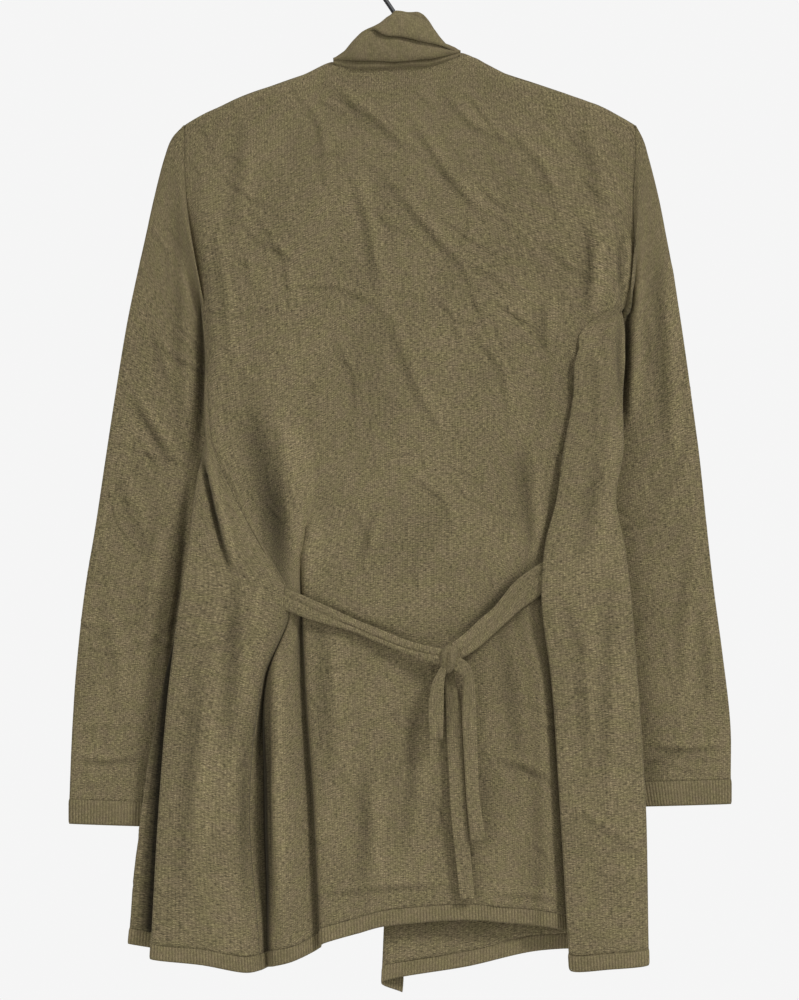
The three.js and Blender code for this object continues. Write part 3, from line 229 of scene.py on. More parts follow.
LOOP = [
    (36, -622, 41, -622, -28.5), (31, -630, 38.5, -630, -30.4), (26.5, -639, 37, -639, -31),
    (24, -650.5, 36.5, -650.5, -31), (23, -669, 36, -669, -30.8), (24, -684, 35.5, -684, -30.4),
    (24, -689, 35.5, -689, -27.8), (24, -684, 36, -684, -25.2), (24.5, -669, 36.5, -669, -24.8),
    (25.5, -650.5, 36.5, -650.5, -24.6), (27.5, -639, 37, -639, -24.6), (32, -630, 38.5, -630, -25.2),
    (36, -622, 41, -622, -26.5),
]
KNOT = {"x": 41, "y": -27, "z": -619, "half": (9.6, 5.4, 11.4), "girth": 60, "sides": 96}

# The collar's long curves, as x and height: neck seam, the roll's lower edge, the upper fold's lower edge,
# the crest, and the inner layer's top, which stands out behind the crest.
COLLAR_CURVES = {
    "seam": [(-61, -93.8), (-57, -95), (-50, -96.4), (-40, -97.8), (-29, -98.2), (-11, -97.2),
             (5, -95.9), (23, -95.2), (33, -93.2), (45, -89.4), (52, -86.2)],
    "roll": [(-61, -91.8), (-57, -91.4), (-50, -91.6), (-35, -92), (-11, -93), (7, -92.4), (25, -90.2),
             (38, -88), (46, -86), (52, -84.4)],
    "fold": [(-61, -91.5), (-57, -90), (-50, -85), (-44, -78), (-35, -69), (-30, -66.4), (-25, -65.4),
             (-20, -68), (-13, -71), (-2, -72.2), (11, -74.3), (22, -77), (33, -79.6), (41, -81.8),
             (46, -83.6), (52, -84)],
    "crest": [(-61, -91), (-57, -89), (-50, -84), (-44, -77), (-35, -68), (-30, -65), (-25, -62.8),
              (-19, -59.6), (-15, -56.4), (-11, -53.6), (-6, -51.6), (0, -51.2), (7, -52.2), (13, -54),
              (19, -57), (24, -60.6), (28, -65.6), (33, -72.4), (39, -78.6), (44, -82.8), (48, -84.4),
              (52, -84.2)],
    "inner": [(-61, -92), (-57, -90), (-50, -85), (-44, -78), (-35, -70), (-25, -64), (-15, -57.6),
              (-9, -51.4), (-6, -48.2), (0, -48.8), (4, -50), (9, -50.2), (14, -49.8), (19, -52.4),
              (24, -58), (28, -64.6), (33, -72), (39, -79), (44, -84), (52, -86)],
}
# The collar's section from the seam up: the two curves it lies between, the share of the way, y and lift.
# Between FOLD_PLACES it is the upper fold, which opens only right of FOLD_OPENS.
COLLAR_SECTION = [
    ("seam", "roll", 0, -6.4, -1.6), ("seam", "roll", 0, -9.8, -0.4), ("seam", "roll", 0.16, -11, 0),
    ("seam", "roll", 0.7, -10.4, 0), ("roll", "fold", 0.02, -9.8, 1.8), ("roll", "fold", 0, -11.4, 1.2),
    ("roll", "fold", 0, -13.8, -0.2), ("roll", "fold", 0.12, -15.8, 0), ("roll", "fold", 0.45, -17, 0),
    ("roll", "fold", 0.85, -15.4, 0), ("roll", "fold", 1, -13.6, 1.8), ("roll", "fold", 1, -15, 2.6),
    ("fold", "crest", 0, -17.6, 0.3), ("fold", "crest", 0.08, -19, 0), ("fold", "crest", 0.45, -18.2, 0),
    ("fold", "crest", 0.85, -14.4, 0), ("fold", "crest", 1, -11.6, 0),
    ("fold", "crest", 0.94, -10, -0.8), ("fold", "inner", 0.84, -8.4, 0), ("fold", "inner", 1, -6.4, 0),
    ("fold", "inner", 0.9, -4.4, 0), ("roll", "inner", 0.4, -4.6, 0),
]
FOLD_PLACES = (10, 15)
FOLD_OPENS = -31
COLLAR_ENDS = (-60.5, 51.5)
COLLAR_GRID = (120, 130)
NECK_DEPTH = -6.2
LYING_DEPTH = -15
END_FULLNESS = 0.18
END_REACH = 22
CURVE_SMOOTHING = [0.1, 0.24, 0.32, 0.24, 0.1]

# Creases are read in steps of 0.88 mm across and down from a corner of the view.
STEP = 0.88
STEP_LEFT = 402
STEP_TOP = 44.4

# A crease's ridge beside its trough, in terms of the crease's depth and width, and how far both are reckoned.
RIDGE_HEIGHT = 0.55
RIDGE_AWAY = 1.7
RIDGE_WIDTH = 1.3
CREASE_REACH = 4

# The strewn crumples: lengths in steps, bend as a share of the length, and the ranges of depth and width.
CRUMPLE_LENGTHS = (24, 90)
CRUMPLE_BEND = 0.16
CRUMPLE_DEPTHS = (0.45, 1.25)
CRUMPLE_WIDTHS = (1.3, 2.6)

# How finely lines are probed for even places, and every how many levels.
PROBES = 1600
PROBE_LEVELS = 5

# A look at the cloth from the viewing side: where it starts, in metres, and its direction.
LOOK_FROM = -0.2
LOOK_ALONG = Vector((0, 1, 0))


def placed(path):
    """A path read in steps, as x and z in millimetres."""
    return np.array([((px - STEP_LEFT) * STEP, -(py + STEP_TOP) * STEP) for px, py in path])


def running(steps):
    """How far along each point lies, from the steps between the points."""
    return np.concatenate([[0], np.cumsum(steps)])


def link(name, data):
    """A new object of the scene, at the origin."""
    made = bpy.data.objects.new(name, data)
    bpy.context.scene.collection.objects.link(made)
    return made


def height_curve(values, at):
    """A column of a panel's table at any height: cubic pieces with weighted mean slopes, and straight beyond
    the ends."""
    stations = np.array(HEIGHTS, float)
    values = np.array(values, float)
    slope = np.diff(values) / np.diff(stations)
    span = np.diff(stations)
    mean = (slope[:-1] * span[1:] + slope[1:] * span[:-1]) / (span[:-1] + span[1:])
    knot = np.concatenate([[slope[0]], mean, [slope[-1]]])
    i = np.clip(np.searchsorted(-stations, -at, side="right") - 1, 0, len(span) - 1)
    t = (at - stations[i]) / span[i]
    inside = (values[i] * (2 * t**3 - 3 * t**2 + 1) + values[i + 1] * (3 * t**2 - 2 * t**3)
              + span[i] * (knot[i] * (t**3 - 2 * t**2 + t) + knot[i + 1] * (t**3 - t**2)))
    above = values[0] + slope[0] * (at - stations[0])
    below = values[-1] + slope[-1] * (at - stations[-1])
    return np.where(at >= stations[0], above, np.where(at <= stations[-1], below, inside))


def ease(value):
    """0 below 0, 1 above 1 and a smooth step between them."""
    value = np.clip(value, 0, 1)
    return value * value * (3 - 2 * value)


def panel_lines(table, side, share, drop):
    """Points [line, level, 3] of a panel's lines at each share of the way to the hem and drop below that."""
    lines = []
    shifts = FOLD_SHIFTS.get(id(table), {})
    for place, (top, hem, over, x, y) in enumerate(table):
        z = top + (hem - top) * share - drop
        swing = np.sin(math.pi * np.clip((FOLD_TOP - z) / (FOLD_TOP - FOLD_FOOT), 0, 1)) ** 1.3
        aside, forward = shifts.get(place, (0, 0))
        deep = height_curve(y, z) + forward * swing
        below = (top - z) / SHOULDER_TURN
        turn = np.sqrt(np.clip(1 - (1 - below) ** 2, 0, 1))
        edge = side * SEAM_GAP / 2
        deep = np.where((below < 1) & bool(over), edge + (deep - edge) * turn, deep)
        lines.append(np.stack([height_curve(x, z) + aside * swing, deep, z], axis=1))
    return np.array(lines)


def spline(points, at):
    """A centripetal spline through points[line, level] at the line places at: gives [level, place, 3]."""
    last = len(points) - 1
    i = np.clip(np.floor(at).astype(int), 0, last - 1)
    w = (at - i)[None, :, None]
    run = np.concatenate([[2 * points[0] - points[1]], points, [2 * points[-1] - points[-2]]])
    p0, p1, p2, p3 = (np.swapaxes(run[i + k], 0, 1) for k in range(4))

    def gap(a, b):
        return np.sum((b - a) ** 2, axis=2, keepdims=True) ** 0.25

    middle = np.maximum(gap(p1, p2), 1e-4)
    first = np.where(gap(p0, p1) < 1e-4, middle, gap(p0, p1))
    third = np.where(gap(p2, p3) < 1e-4, middle, gap(p2, p3))
    t1 = ((p1 - p0) / first - (p2 - p0) / (first + middle) + (p2 - p1) / middle) * middle
    t2 = ((p2 - p1) / middle - (p3 - p1) / (middle + third) + (p3 - p2) / third) * middle
    return p1 + t1 * w + (3 * p2 - 3 * p1 - 2 * t1 - t2) * w**2 + (2 * p1 - 2 * p2 + t1 + t2) * w**3


def even_places(points, first, last, count):
    """Line places that lie evenly apart on the cloth, and how far along the cloth each one is."""
    probe = np.linspace(first, last, PROBES)
    path = spline(points[:, ::PROBE_LEVELS], probe)
    run = running(np.linalg.norm(np.diff(path, axis=1), axis=2).mean(axis=0))
    even = np.linspace(0, run[-1], count)
    return np.interp(even, run, probe), even


def along(grid, axis):
    """How far along the cloth each row or column of a grid is, as the mean over the other direction."""
    return running(np.linalg.norm(np.diff(grid, axis=axis), axis=2).mean(axis=1 - axis))


def unit(vectors):
    """The same vectors at length 1."""
    return vectors / np.maximum(np.linalg.norm(vectors, axis=-1, keepdims=True), 1e-9)


def grid_normals(grid, wrap=False):
    """Unit normals from the differences along both directions of a grid. With wrap its last column meets its
    first."""
    if wrap:
        across = np.roll(grid, -1, axis=1) - np.roll(grid, 1, axis=1)
    else:
        across = np.gradient(grid, axis=1)
    return unit(np.cross(np.gradient(grid, axis=0), across))


def shell(name, outer, inner, u, v, wrap=False, rise=None):
    """A closed thin body from an outer and an inner grid of points, joined along their rims, with the cloth's
    own distances u across and v down as its UV map, in metres. Its painted-shade attribute, the opposite of
    rise in millimetres, paints shade into the colour the deeper each point lies in a crease, a fold or a
    groove between ribs, and paints a little light where it is below zero, on ridges and rib crests."""
    rows, columns = outer.shape[:2]
    spans = columns if wrap else columns - 1
    r, c = (a.ravel() for a in np.meshgrid(np.arange(rows - 1), np.arange(spans), indexing="ij"))

    def corner(side, row, column):
        return side * rows * columns + row * columns + column % columns, row * (spans + 1) + column

    def quads(*corners):
        return [np.stack([np.broadcast_to(k[part], r_or_c) for k in corners], axis=1)
                for part, r_or_c in ((0, corners[0][0].shape), (1, corners[0][0].shape))]

    faces = [
        quads(corner(0, r, c), corner(0, r + 1, c), corner(0, r + 1, c + 1), corner(0, r, c + 1)),
        quads(corner(1, r, c), corner(1, r, c + 1), corner(1, r + 1, c + 1), corner(1, r + 1, c)),
    ]
    c = np.arange(spans)
    top, foot = 0 * c, 0 * c + rows - 1
    rims = [
        quads(corner(0, top, c), corner(0, top, c + 1), corner(1, top, c + 1), corner(1, top, c)),
        quads(corner(0, foot, c), corner(1, foot, c), corner(1, foot, c + 1), corner(0, foot, c + 1)),
    ]
    if not wrap:
        r = np.arange(rows - 1)
        left, right = 0 * r, 0 * r + spans
        rims += [
            quads(corner(0, r, left), corner(1, r, left), corner(1, r + 1, left), corner(0, r + 1, left)),
            quads(corner(0, r, right), corner(0, r + 1, right), corner(1, r + 1, right), corner(1, r, right)),
        ]
    smooth = sum(len(f[0]) for f in faces)
    faces += rims
    corners = np.concatenate([f[0] for f in faces])
    places = np.concatenate([f[1] for f in faces])
    points = np.concatenate([outer.reshape(-1, 3), inner.reshape(-1, 3)]) * MM
    a, b, d = (points[corners[:, k]] for k in (0, 1, 2))
    e = points[corners[:, 3]]
    volume = np.sum(a * np.cross(b, d)) + np.sum(a * np.cross(d, e))
    if volume < 0:
        corners, places = corners[:, ::-1], places[:, ::-1]
    u = np.broadcast_to(u, (rows, spans + 1)) if np.ndim(u) == 1 else u
    v = np.broadcast_to(np.reshape(v, (-1, 1)), (rows, spans + 1)) if np.ndim(v) == 1 else v
    cloth = np.stack([u.ravel(), v.ravel()], axis=1) * MM
    mesh = bpy.data.meshes.new(name)
    mesh.from_pydata(points.tolist(), [], corners.tolist())
    layer = mesh.uv_layers.new(name="cloth")
    layer.data.foreach_set("uv", cloth[places].ravel())
    painted_shade = mesh.attributes.new("painted_shade", "FLOAT", "POINT")
    if rise is not None:
        painted_shade.data.foreach_set("value", np.concatenate([-rise.ravel(), -rise.ravel()]))
    flags = np.zeros(len(corners), bool)
    flags[:smooth] = True
    mesh.polygons.foreach_set("use_smooth", flags)
    mesh.update()
    return link(name, mesh)


def thin_shell(name, grid, normals, u, v, wrap=False, rise=None):
    """A shell with half the cloth's thickness on each side of a grid."""
    half = np.full(grid.shape[:2], CLOTH / 2)
    outer, inner = offset(grid, normals, half, wrap), offset(grid, normals, -half, wrap)
    return shell(name, outer, inner, u, v, wrap, rise)


def creased(x, z, creases):
    """The cloth's rise over a flat place: for each crease a rounded trough with a softer ridge beside it,
    both fading towards the crease's ends. A crease is its depth, its width and its path."""
    relief = np.zeros_like(x)
    for depth, width, *path in creases:
        path = placed(path)
        reach = CREASE_REACH * width
        near = ((x > path[:, 0].min() - reach) & (x < path[:, 0].max() + reach)
                & (z > path[:, 1].min() - reach) & (z < path[:, 1].max() + reach))
        px, pz = x[near], z[near]
        if not len(px):
            continue
        spans = np.diff(path, axis=0)
        lengths = np.linalg.norm(spans, axis=1)
        best, share, side = np.full(px.shape, 1e9), np.zeros(px.shape), np.zeros(px.shape)
        done = 0
        for start, span, length in zip(path[:-1], spans, lengths):
            t = np.clip(((px - start[0]) * span[0] + (pz - start[1]) * span[1]) / length**2, 0, 1)
            dx, dz = px - start[0] - t * span[0], pz - start[1] - t * span[1]
            away = np.hypot(dx, dz)
            nearer = away < best
            best = np.where(nearer, away, best)
            share = np.where(nearer, (done + t * length) / lengths.sum(), share)
            side = np.where(nearer, np.sign(span[0] * dz - span[1] * dx) * away, side)
            done += length
        fade = np.sin(math.pi * np.clip(share, 0.01, 0.99)) ** 0.7
        ends = np.exp(-np.clip(best - 3 * width, 0, None) / width)
        ridge = RIDGE_HEIGHT * np.exp(-(((side - RIDGE_AWAY * width) / (RIDGE_WIDTH * width)) ** 2))
        relief[near] += depth * fade * ends * (ridge - np.exp(-((best / width) ** 2)))
    return relief


def crumples(seed, count, low, high, leaning, spread, depth):
    """Small creases strewn over a region between two corners: short, slightly bent, and turned about one
    leaning in degrees with a spread."""
    draw = np.random.default_rng(seed)
    made = []
    for _ in range(count):
        x, y = draw.uniform(low[0], high[0]), draw.uniform(low[1], high[1])
        angle = math.radians(leaning + spread * draw.normal())
        length = draw.uniform(*CRUMPLE_LENGTHS)
        bend = draw.uniform(-CRUMPLE_BEND, CRUMPLE_BEND) * length
        run = np.array([math.cos(angle), math.sin(angle)])
        across = np.array([-run[1], run[0]])
        middle = np.array([x, y])
        path = [middle - run * length / 2, middle + bend * across, middle + run * length / 2]
        made.append((depth * draw.uniform(*CRUMPLE_DEPTHS), draw.uniform(*CRUMPLE_WIDTHS),
                     *[tuple(point) for point in path]))
    return made


def deeper(creases, times):
    """The same creases with every depth multiplied."""
    return [(depth * times, *rest) for depth, *rest in creases]


def undulation(x, z, amount):
    """Slow unevenness of hanging cloth: a sum of plane waves, each with its length in millimetres, its
    heading in degrees and its phase."""
    waves = [(61, 18, 0.3), (97, 74, 1.1), (143, -22, 2.3), (47, 49, 4.0), (79, -61, 5.2), (36, 8, 0.9)]
    total = np.zeros_like(x)
    for length, heading, phase in waves:
        a = math.radians(heading)
        total += length / 90 * np.sin(2 * math.pi * (x * math.cos(a) + z * math.sin(a)) / length + phase)
    return amount * total / 3


def offset(grid, normals, distance, wrap=False):
    """Moves a grid along its normals, by less where the cloth bends too tightly to let it through."""
    if wrap:
        step = (np.roll(grid, -1, axis=1) - np.roll(grid, 1, axis=1)) / 2
        bend = np.roll(grid, -1, axis=1) + np.roll(grid, 1, axis=1) - 2 * grid
    else:
        step = np.gradient(grid, axis=1)
        bend = np.gradient(step, axis=1)
    inward = np.sum(bend * normals, axis=2) / np.maximum(np.sum(step**2, axis=2), 1e-9)
    reach = np.where(inward * np.sign(distance) > 0, 0.85 / np.maximum(np.abs(inward), 1e-6), 1e9)
    moved = np.sign(distance) * np.minimum(np.abs(distance), reach)
    return grid + normals * moved[..., None]


# The main creases, each with its depth and width in millimetres and its path in steps.
BACK_CREASES = [
    (1.9, 4.2, (328, 89), (383, 131), (408, 156)), (1.8, 4.0, (408, 121), (446, 179), (488, 226)),
    (1.7, 4.0, (383, 179), (415, 220), (459, 268), (472, 293)),
    (1.8, 4.6, (348, 172), (363, 223), (376, 300)), (1.5, 4.6, (376, 300), (415, 395), (446, 446)),
    (1.5, 3.4, (376, 504), (366, 540), (357, 574)), (1.2, 2.6, (318, 673), (340, 668), (357, 662)),
    (2.4, 7.0, (363, 765), (364, 830), (363, 893)), (1.4, 3.0, (320, 896), (390, 889), (460, 887)),
    (1.4, 2.8, (491, 896), (530, 898), (561, 902)), (1.8, 3.4, (491, 759), (525, 770), (555, 784)),
    (1.8, 4.4, (543, 296), (541, 325), (543, 353)), (2.2, 6.0, (521, 445), (524, 500), (530, 548)),
    (1.2, 3.4, (300, 95), (318, 130), (322, 180)), (1.2, 3.4, (440, 95), (470, 128), (520, 150)),
    (1.3, 3.4, (500, 120), (540, 170), (560, 230)), (1.3, 3.4, (255, 220), (282, 260), (290, 320)),
    (1.3, 3.0, (470, 330), (500, 372), (508, 420)), (1.1, 3.0, (330, 330), (352, 380), (355, 430)),
    (1.3, 3.4, (400, 470), (440, 500), (452, 540)),
    (4.6, 11.0, (250, 400), (262, 470), (276, 540), (286, 610)),
    (4.4, 9.0, (276, 425), (280, 500), (290, 575)), (1.8, 7.0, (320, 600), (324, 690), (330, 780)),
    (1.6, 6.0, (420, 690), (410, 780), (404, 860)), (2.0, 8.0, (500, 620), (512, 700), (520, 790)),
    (3.0, 5.0, (590, 225), (588, 270), (584, 318)),
    (4.0, 5.0, (541, 556), (505, 596), (474, 628), (452, 646)),
    (5.0, 5.0, (267, 640), (267, 780), (269, 930)), (3.0, 3.6, (622, 232), (621, 262), (621, 298)),
    (2.2, 3.0, (410, 640), (360, 622), (310, 600)), (1.5, 3.6, (210, 215), (222, 300), (228, 380)),
    (1.4, 6.0, (240, 120), (236, 180), (228, 250)), (1.6, 7.0, (575, 120), (590, 170), (602, 220)),
    (1.4, 5.0, (300, 440), (300, 500), (310, 560)),
]
LEFT_FRONT_CREASES = [
    (8.0, 3.2, (201, 452), (205, 474), (213, 508), (221, 540), (231, 572)),
    (3.4, 8.0, (236, 560), (234, 640), (228, 760)), (2.6, 8.0, (200, 640), (190, 760), (178, 900)),
    (2.2, 6.0, (246, 700), (244, 800), (246, 930)), (1.6, 4.0, (262, 566), (250, 600), (246, 650)),
    (1.4, 3.6, (270, 590), (256, 630), (252, 700)),
]
RIGHT_FRONT_CREASES = [
    (4.0, 3.6, (621, 318), (620, 360), (623, 410)), (2.4, 7.0, (604, 420), (592, 500), (580, 570)),
    (2.0, 6.0, (612, 560), (606, 680), (600, 820)), (1.8, 5.0, (578, 600), (580, 700), (586, 800)),
    (1.6, 3.4, (561, 803), (600, 828), (638, 855)), (1.4, 3.4, (560, 590), (574, 640), (600, 680)),
    (1.4, 3.4, (590, 350), (596, 400), (590, 450)),
]
LEFT_SLEEVE_CREASES = [
    (7.0, 4.0, (202, 296), (203, 330), (203, 370), (201, 410), (196, 462)),
    (3.6, 4.4, (128, 396), (149, 430), (172, 467)), (2.4, 3.0, (73, 762), (105, 765), (140, 761)),
    (2.2, 5.0, (174, 200), (177, 280), (177, 347), (181, 468)),
    (1.6, 4.0, (150, 330), (160, 370), (176, 400)), (1.8, 5.0, (112, 470), (130, 520), (150, 560)),
    (1.6, 5.0, (100, 600), (110, 660), (116, 730)), (1.4, 4.0, (160, 500), (146, 560), (140, 640)),
    (6.5, 2.8, (188, 480), (183, 540), (177, 600), (171.5, 637), (166, 700)),
]
RIGHT_SLEEVE_CREASES = [
    (9.0, 4.6, (630, 278), (627, 340), (625, 380), (622, 430)),
    (2.4, 3.0, (650, 750), (690, 753), (730, 749)),
    (3.4, 6.0, (658, 250), (660, 330), (664, 400), (666, 468)),
    (1.6, 4.0, (690, 430), (676, 480), (650, 520)), (1.8, 5.0, (690, 540), (680, 620), (676, 700)),
    (1.4, 4.0, (640, 300), (650, 350), (655, 390)), (1.5, 4.0, (700, 600), (706, 660), (706, 720)),
    (2.6, 4.2, (634, 190), (633, 235), (631, 275), (629, 320)),
]


def put(made, node, finish, u, v):
    """The piece rides on the one body, stands for its node and takes its finish. Prints its flat size."""
    print("piece", made.name, "width", round(u[-1]), "length", round(v[-1]),
          "triangles", 2 * len(made.data.polygons))
    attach(made, "root")
    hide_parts(node)
    made.data.materials.append(finish)
    return made


def add(tree, kind, inputs=(), **settings):
    """A node of a material, with its inputs given as sockets or as values."""
    made = tree.nodes.new(kind)
    for key, value in settings.items():
        setattr(made, key, value)
    for key, value in dict(inputs).items():
        if isinstance(value, bpy.types.NodeSocket):
            tree.links.new(value, made.inputs[key])
        else:
            made.inputs[key].default_value = value
    return made


def calc(tree, operation, *values):
    """One step of arithmetic on sockets or values."""
    return add(tree, "ShaderNodeMath", dict(enumerate(values)), operation=operation).outputs[0]


def ramp(tree, value, low, high, to_low, to_high):
    """Maps a value from one range to another, held at its ends."""
    return add(tree, "ShaderNodeMapRange", {0: value, 1: low, 2: high, 3: to_low, 4: to_high}).outputs[0]


OLIVE_GREEN = (0.200, 0.168, 0.084, 1)
OLIVE_BROWN = (0.207, 0.165, 0.093, 1)
NAP_TINT = (0.62, 0.56, 0.42, 1)
BLACK = (0.010, 0.010, 0.011, 1)
WORN_BLACK = (0.026, 0.026, 0.028, 1)

# How the painted-shade attribute paints shade into the cloth's colour, and a little light where it is below
# zero: from, to, and the factor at each, in shallow and in deep places.
SHALLOW_PAINTED_SHADE = (-1.6, 3.2, 1.08, 0.62)
DEEP_PAINTED_SHADE = (3.2, 11, 1.0, 0.2)


def new_material(name):
    """A material and its emptied tree of nodes."""
    made = bpy.data.materials.new(name)
    made.use_nodes = True
    made.node_tree.nodes.clear()
    return made, made.node_tree


def show(tree, surface):
    """Joins a surface to the material's output."""
    tree.links.new(surface.outputs[0], add(tree, "ShaderNodeOutputMaterial").inputs[0])


def knit_finish(name, wale, course, lift, turned=0.0, contrast=1.0, light=1.0):
    """Plain knit seen on its smooth side: columns of small V stitches in the bump, a heather of paler and
    darker fibres drawn out along the rows, and near the top edge partly along the columns, painted shade in
    creases, folds and rib grooves and painted light on ridges and rib crests, both from the painted-shade
    attribute, and a faint nap. wale and course are a stitch's width and height in metres."""
    made, tree = new_material(name)

    def times(one, other):
        return calc(tree, "MULTIPLY", one, other)

    def plus(one, other):
        return calc(tree, "ADD", one, other)

    place = add(tree, "ShaderNodeUVMap", uv_map="cloth").outputs[0]
    split = add(tree, "ShaderNodeSeparateXYZ", {0: place})
    u, v = split.outputs[0], split.outputs[1]
    across = calc(tree, "DIVIDE", u, wale)
    down = calc(tree, "DIVIDE", v, course)
    part = calc(tree, "FRACT", across)
    valley = calc(tree, "ABSOLUTE", calc(tree, "SUBTRACT", times(part, 2.0), 1.0))
    slant = plus(down, times(valley, 0.45))
    loops = calc(tree, "COSINE", times(slant, 2 * math.pi))
    crown = calc(tree, "SUBTRACT", 1.0, times(valley, valley))
    stitch = times(ramp(tree, loops, -1, 1, 0.35, 1.0), crown)

    def heather(across_scale, down_scale, detail=2.0):
        stretched = add(tree, "ShaderNodeCombineXYZ",
                        {0: times(u, across_scale), 1: times(v, down_scale)}).outputs[0]
        return add(tree, "ShaderNodeTexNoise", {"Vector": stretched, "Scale": 1.0, "Detail": detail,
                                                "Roughness": 0.6}).outputs["Fac"]

    rows = heather(330, 1000)
    columns = heather(900, 420)
    lower = ramp(tree, v, 0.02, 0.12, max(turned, 0.3), 1.0)
    fibre = add(tree, "ShaderNodeMix", {0: lower, 2: columns, 3: rows}).outputs[0]
    fine = heather(1250, 1350, 2.0)
    broad = heather(17, 13, 4.0)
    hue = heather(70, 90, 2.0)
    specks = ramp(tree, heather(620, 1000, 1.0), 0.61, 0.72, 0.0, 0.32 * contrast)

    def spread(value, amount):
        return ramp(tree, value, 0.28, 0.72, 1 - amount * contrast, 1 + amount * contrast)

    tone = times(spread(fibre, 0.7), ramp(tree, broad, 0.3, 0.7, 0.88, 1.12))
    tone = times(tone, spread(fine, 0.52))
    tone = times(tone, ramp(tree, stitch, 0.0, 0.9, 1 - 0.2 * contrast, 1 + 0.12 * contrast))
    tone = times(plus(tone, specks), light)
    # Painted shade: the attribute darkens the colour in creases, folds and rib grooves, and lightens it a
    # little on ridges and rib crests.
    painted_shade = add(tree, "ShaderNodeAttribute", attribute_name="painted_shade").outputs["Fac"]
    tone = times(tone, ramp(tree, painted_shade, *SHALLOW_PAINTED_SHADE))
    tone = times(tone, ramp(tree, painted_shade, *DEEP_PAINTED_SHADE))
    tone = times(tone, ramp(tree, heather(190, 230, 3.0), 0.3, 0.7, 0.9, 1.1))
    olive = add(tree, "ShaderNodeMix", {0: ramp(tree, hue, 0.35, 0.65, 0, 1), 6: OLIVE_GREEN, 7: OLIVE_BROWN},
                data_type="RGBA").outputs[2]
    colour = add(tree, "ShaderNodeVectorMath", {0: olive, 3: tone}, operation="SCALE").outputs[0]
    height = plus(stitch, times(fibre, 0.8))
    bump = add(tree, "ShaderNodeBump", {"Height": height, "Distance": lift, "Strength": 0.6}).outputs[0]
    surface = add(tree, "ShaderNodeBsdfPrincipled", {
        "Base Color": colour, "Roughness": 0.93, "Normal": bump, "Specular IOR Level": 0.18,
        "Sheen Weight": 0.12, "Sheen Roughness": 0.55, "Sheen Tint": NAP_TINT})
    show(tree, surface)
    return made


def black_finish(name, roughness, grain, metallic):
    """Dark moulded or painted surface: a near-black with a fine grain in its colour, roughness and bump."""
    made, tree = new_material(name)
    place = add(tree, "ShaderNodeTexCoord").outputs["Object"]
    speck = add(tree, "ShaderNodeTexNoise", {"Vector": place, "Scale": grain, "Detail": 3.0}).outputs["Fac"]
    worn = add(tree, "ShaderNodeTexNoise", {"Vector": place, "Scale": 40.0, "Detail": 4.0}).outputs["Fac"]
    colour = add(tree, "ShaderNodeMix", {0: worn, 6: BLACK, 7: WORN_BLACK}, data_type="RGBA").outputs[2]
    bump = add(tree, "ShaderNodeBump", {"Height": speck, "Distance": 0.0001, "Strength": 0.4}).outputs[0]
    surface = add(tree, "ShaderNodeBsdfPrincipled", {
        "Base Color": colour, "Roughness": ramp(tree, worn, 0.3, 0.7, roughness - 0.08, roughness + 0.1),
        "Metallic": metallic, "Normal": bump})
    show(tree, surface)
    return made


# The camera: straight at the back, far off, so that nearer folds hardly grow.
CAMERA_AWAY = 5.0
VIEW_HEIGHT = 0.88
SENSOR = 36
VIEW_MIDDLE = (-0.0022, -0.008, -0.4791)
FARTHEST = 60
lens = bpy.data.cameras.new("camera")
camera = link("camera", lens)
lens.sensor_width = SENSOR
lens.lens = SENSOR * CAMERA_AWAY / VIEW_HEIGHT
camera.location = (VIEW_MIDDLE[0], VIEW_MIDDLE[1] - CAMERA_AWAY, VIEW_MIDDLE[2])
camera.rotation_euler = (math.radians(90), 0, 0)
lens.clip_end = FARTHEST
bpy.context.scene.camera = camera
bpy.context.scene.view_settings.view_transform = "Standard"

knit = knit_finish("heather_knit", 0.0021, 0.0016, 0.00022)
rib_knit = knit_finish("rib_knit", 0.0027, 0.0016, 0.00018, contrast=0.6, light=1.1)
tie_knit = knit_finish("tie_knit", 0.0019, 0.0015, 0.0002, turned=0.4)
collar_knit = knit_finish("collar_knit", 0.0017, 0.0014, 0.0001, contrast=0.5)
pale_knit = knit_finish("pale_thread", 0.0017, 0.0014, 0.0001, contrast=0.4, light=1.45)


def tree_of(made):
    """A search tree over an object's faces, to find the cloth's surface from the viewing side."""
    mesh = made.data
    return BVHTree.FromPolygons([v.co for v in mesh.vertices], [tuple(f.vertices) for f in mesh.polygons])


def surface_at(tree, x, z):
    """The depth y of the nearest cloth at x and z, in millimetres, or None where there is none."""
    hit = tree.ray_cast(Vector((x * MM, LOOK_FROM, z * MM)), LOOK_ALONG)[0]
    return None if hit is None else hit.y / MM


def settle(grid, places, under):
    """Lays a fold's beginning flush on the cloth under it: its visible layer just above, its inner layer
    below."""
    low, high, fading = FLUSH_FROM, FLUSH_TO, FLUSH_TO - FLUSH_FADE
    for row in range(len(grid)):
        if not low - FLUSH_MARGIN < grid[row, :, 2].mean() < high + FLUSH_MARGIN:
            continue
        for column, place in enumerate(places):
            x, y, z = grid[row, column]
            share = (1 - ease((fading - z) / (fading - low))) * ease((high + 3 - z) / 6)
            share *= 1 - ease((place - FLUSH_LAST) / 0.7)
            surface = surface_at(under, x, z) if share > 0.01 else None
            if surface is not None:
                lift = FLUSH_BELOW - FLUSH_STEP * ease((place - FLUSH_TURN) / 0.6)
                grid[row, column, 1] += (surface + lift - y) * share


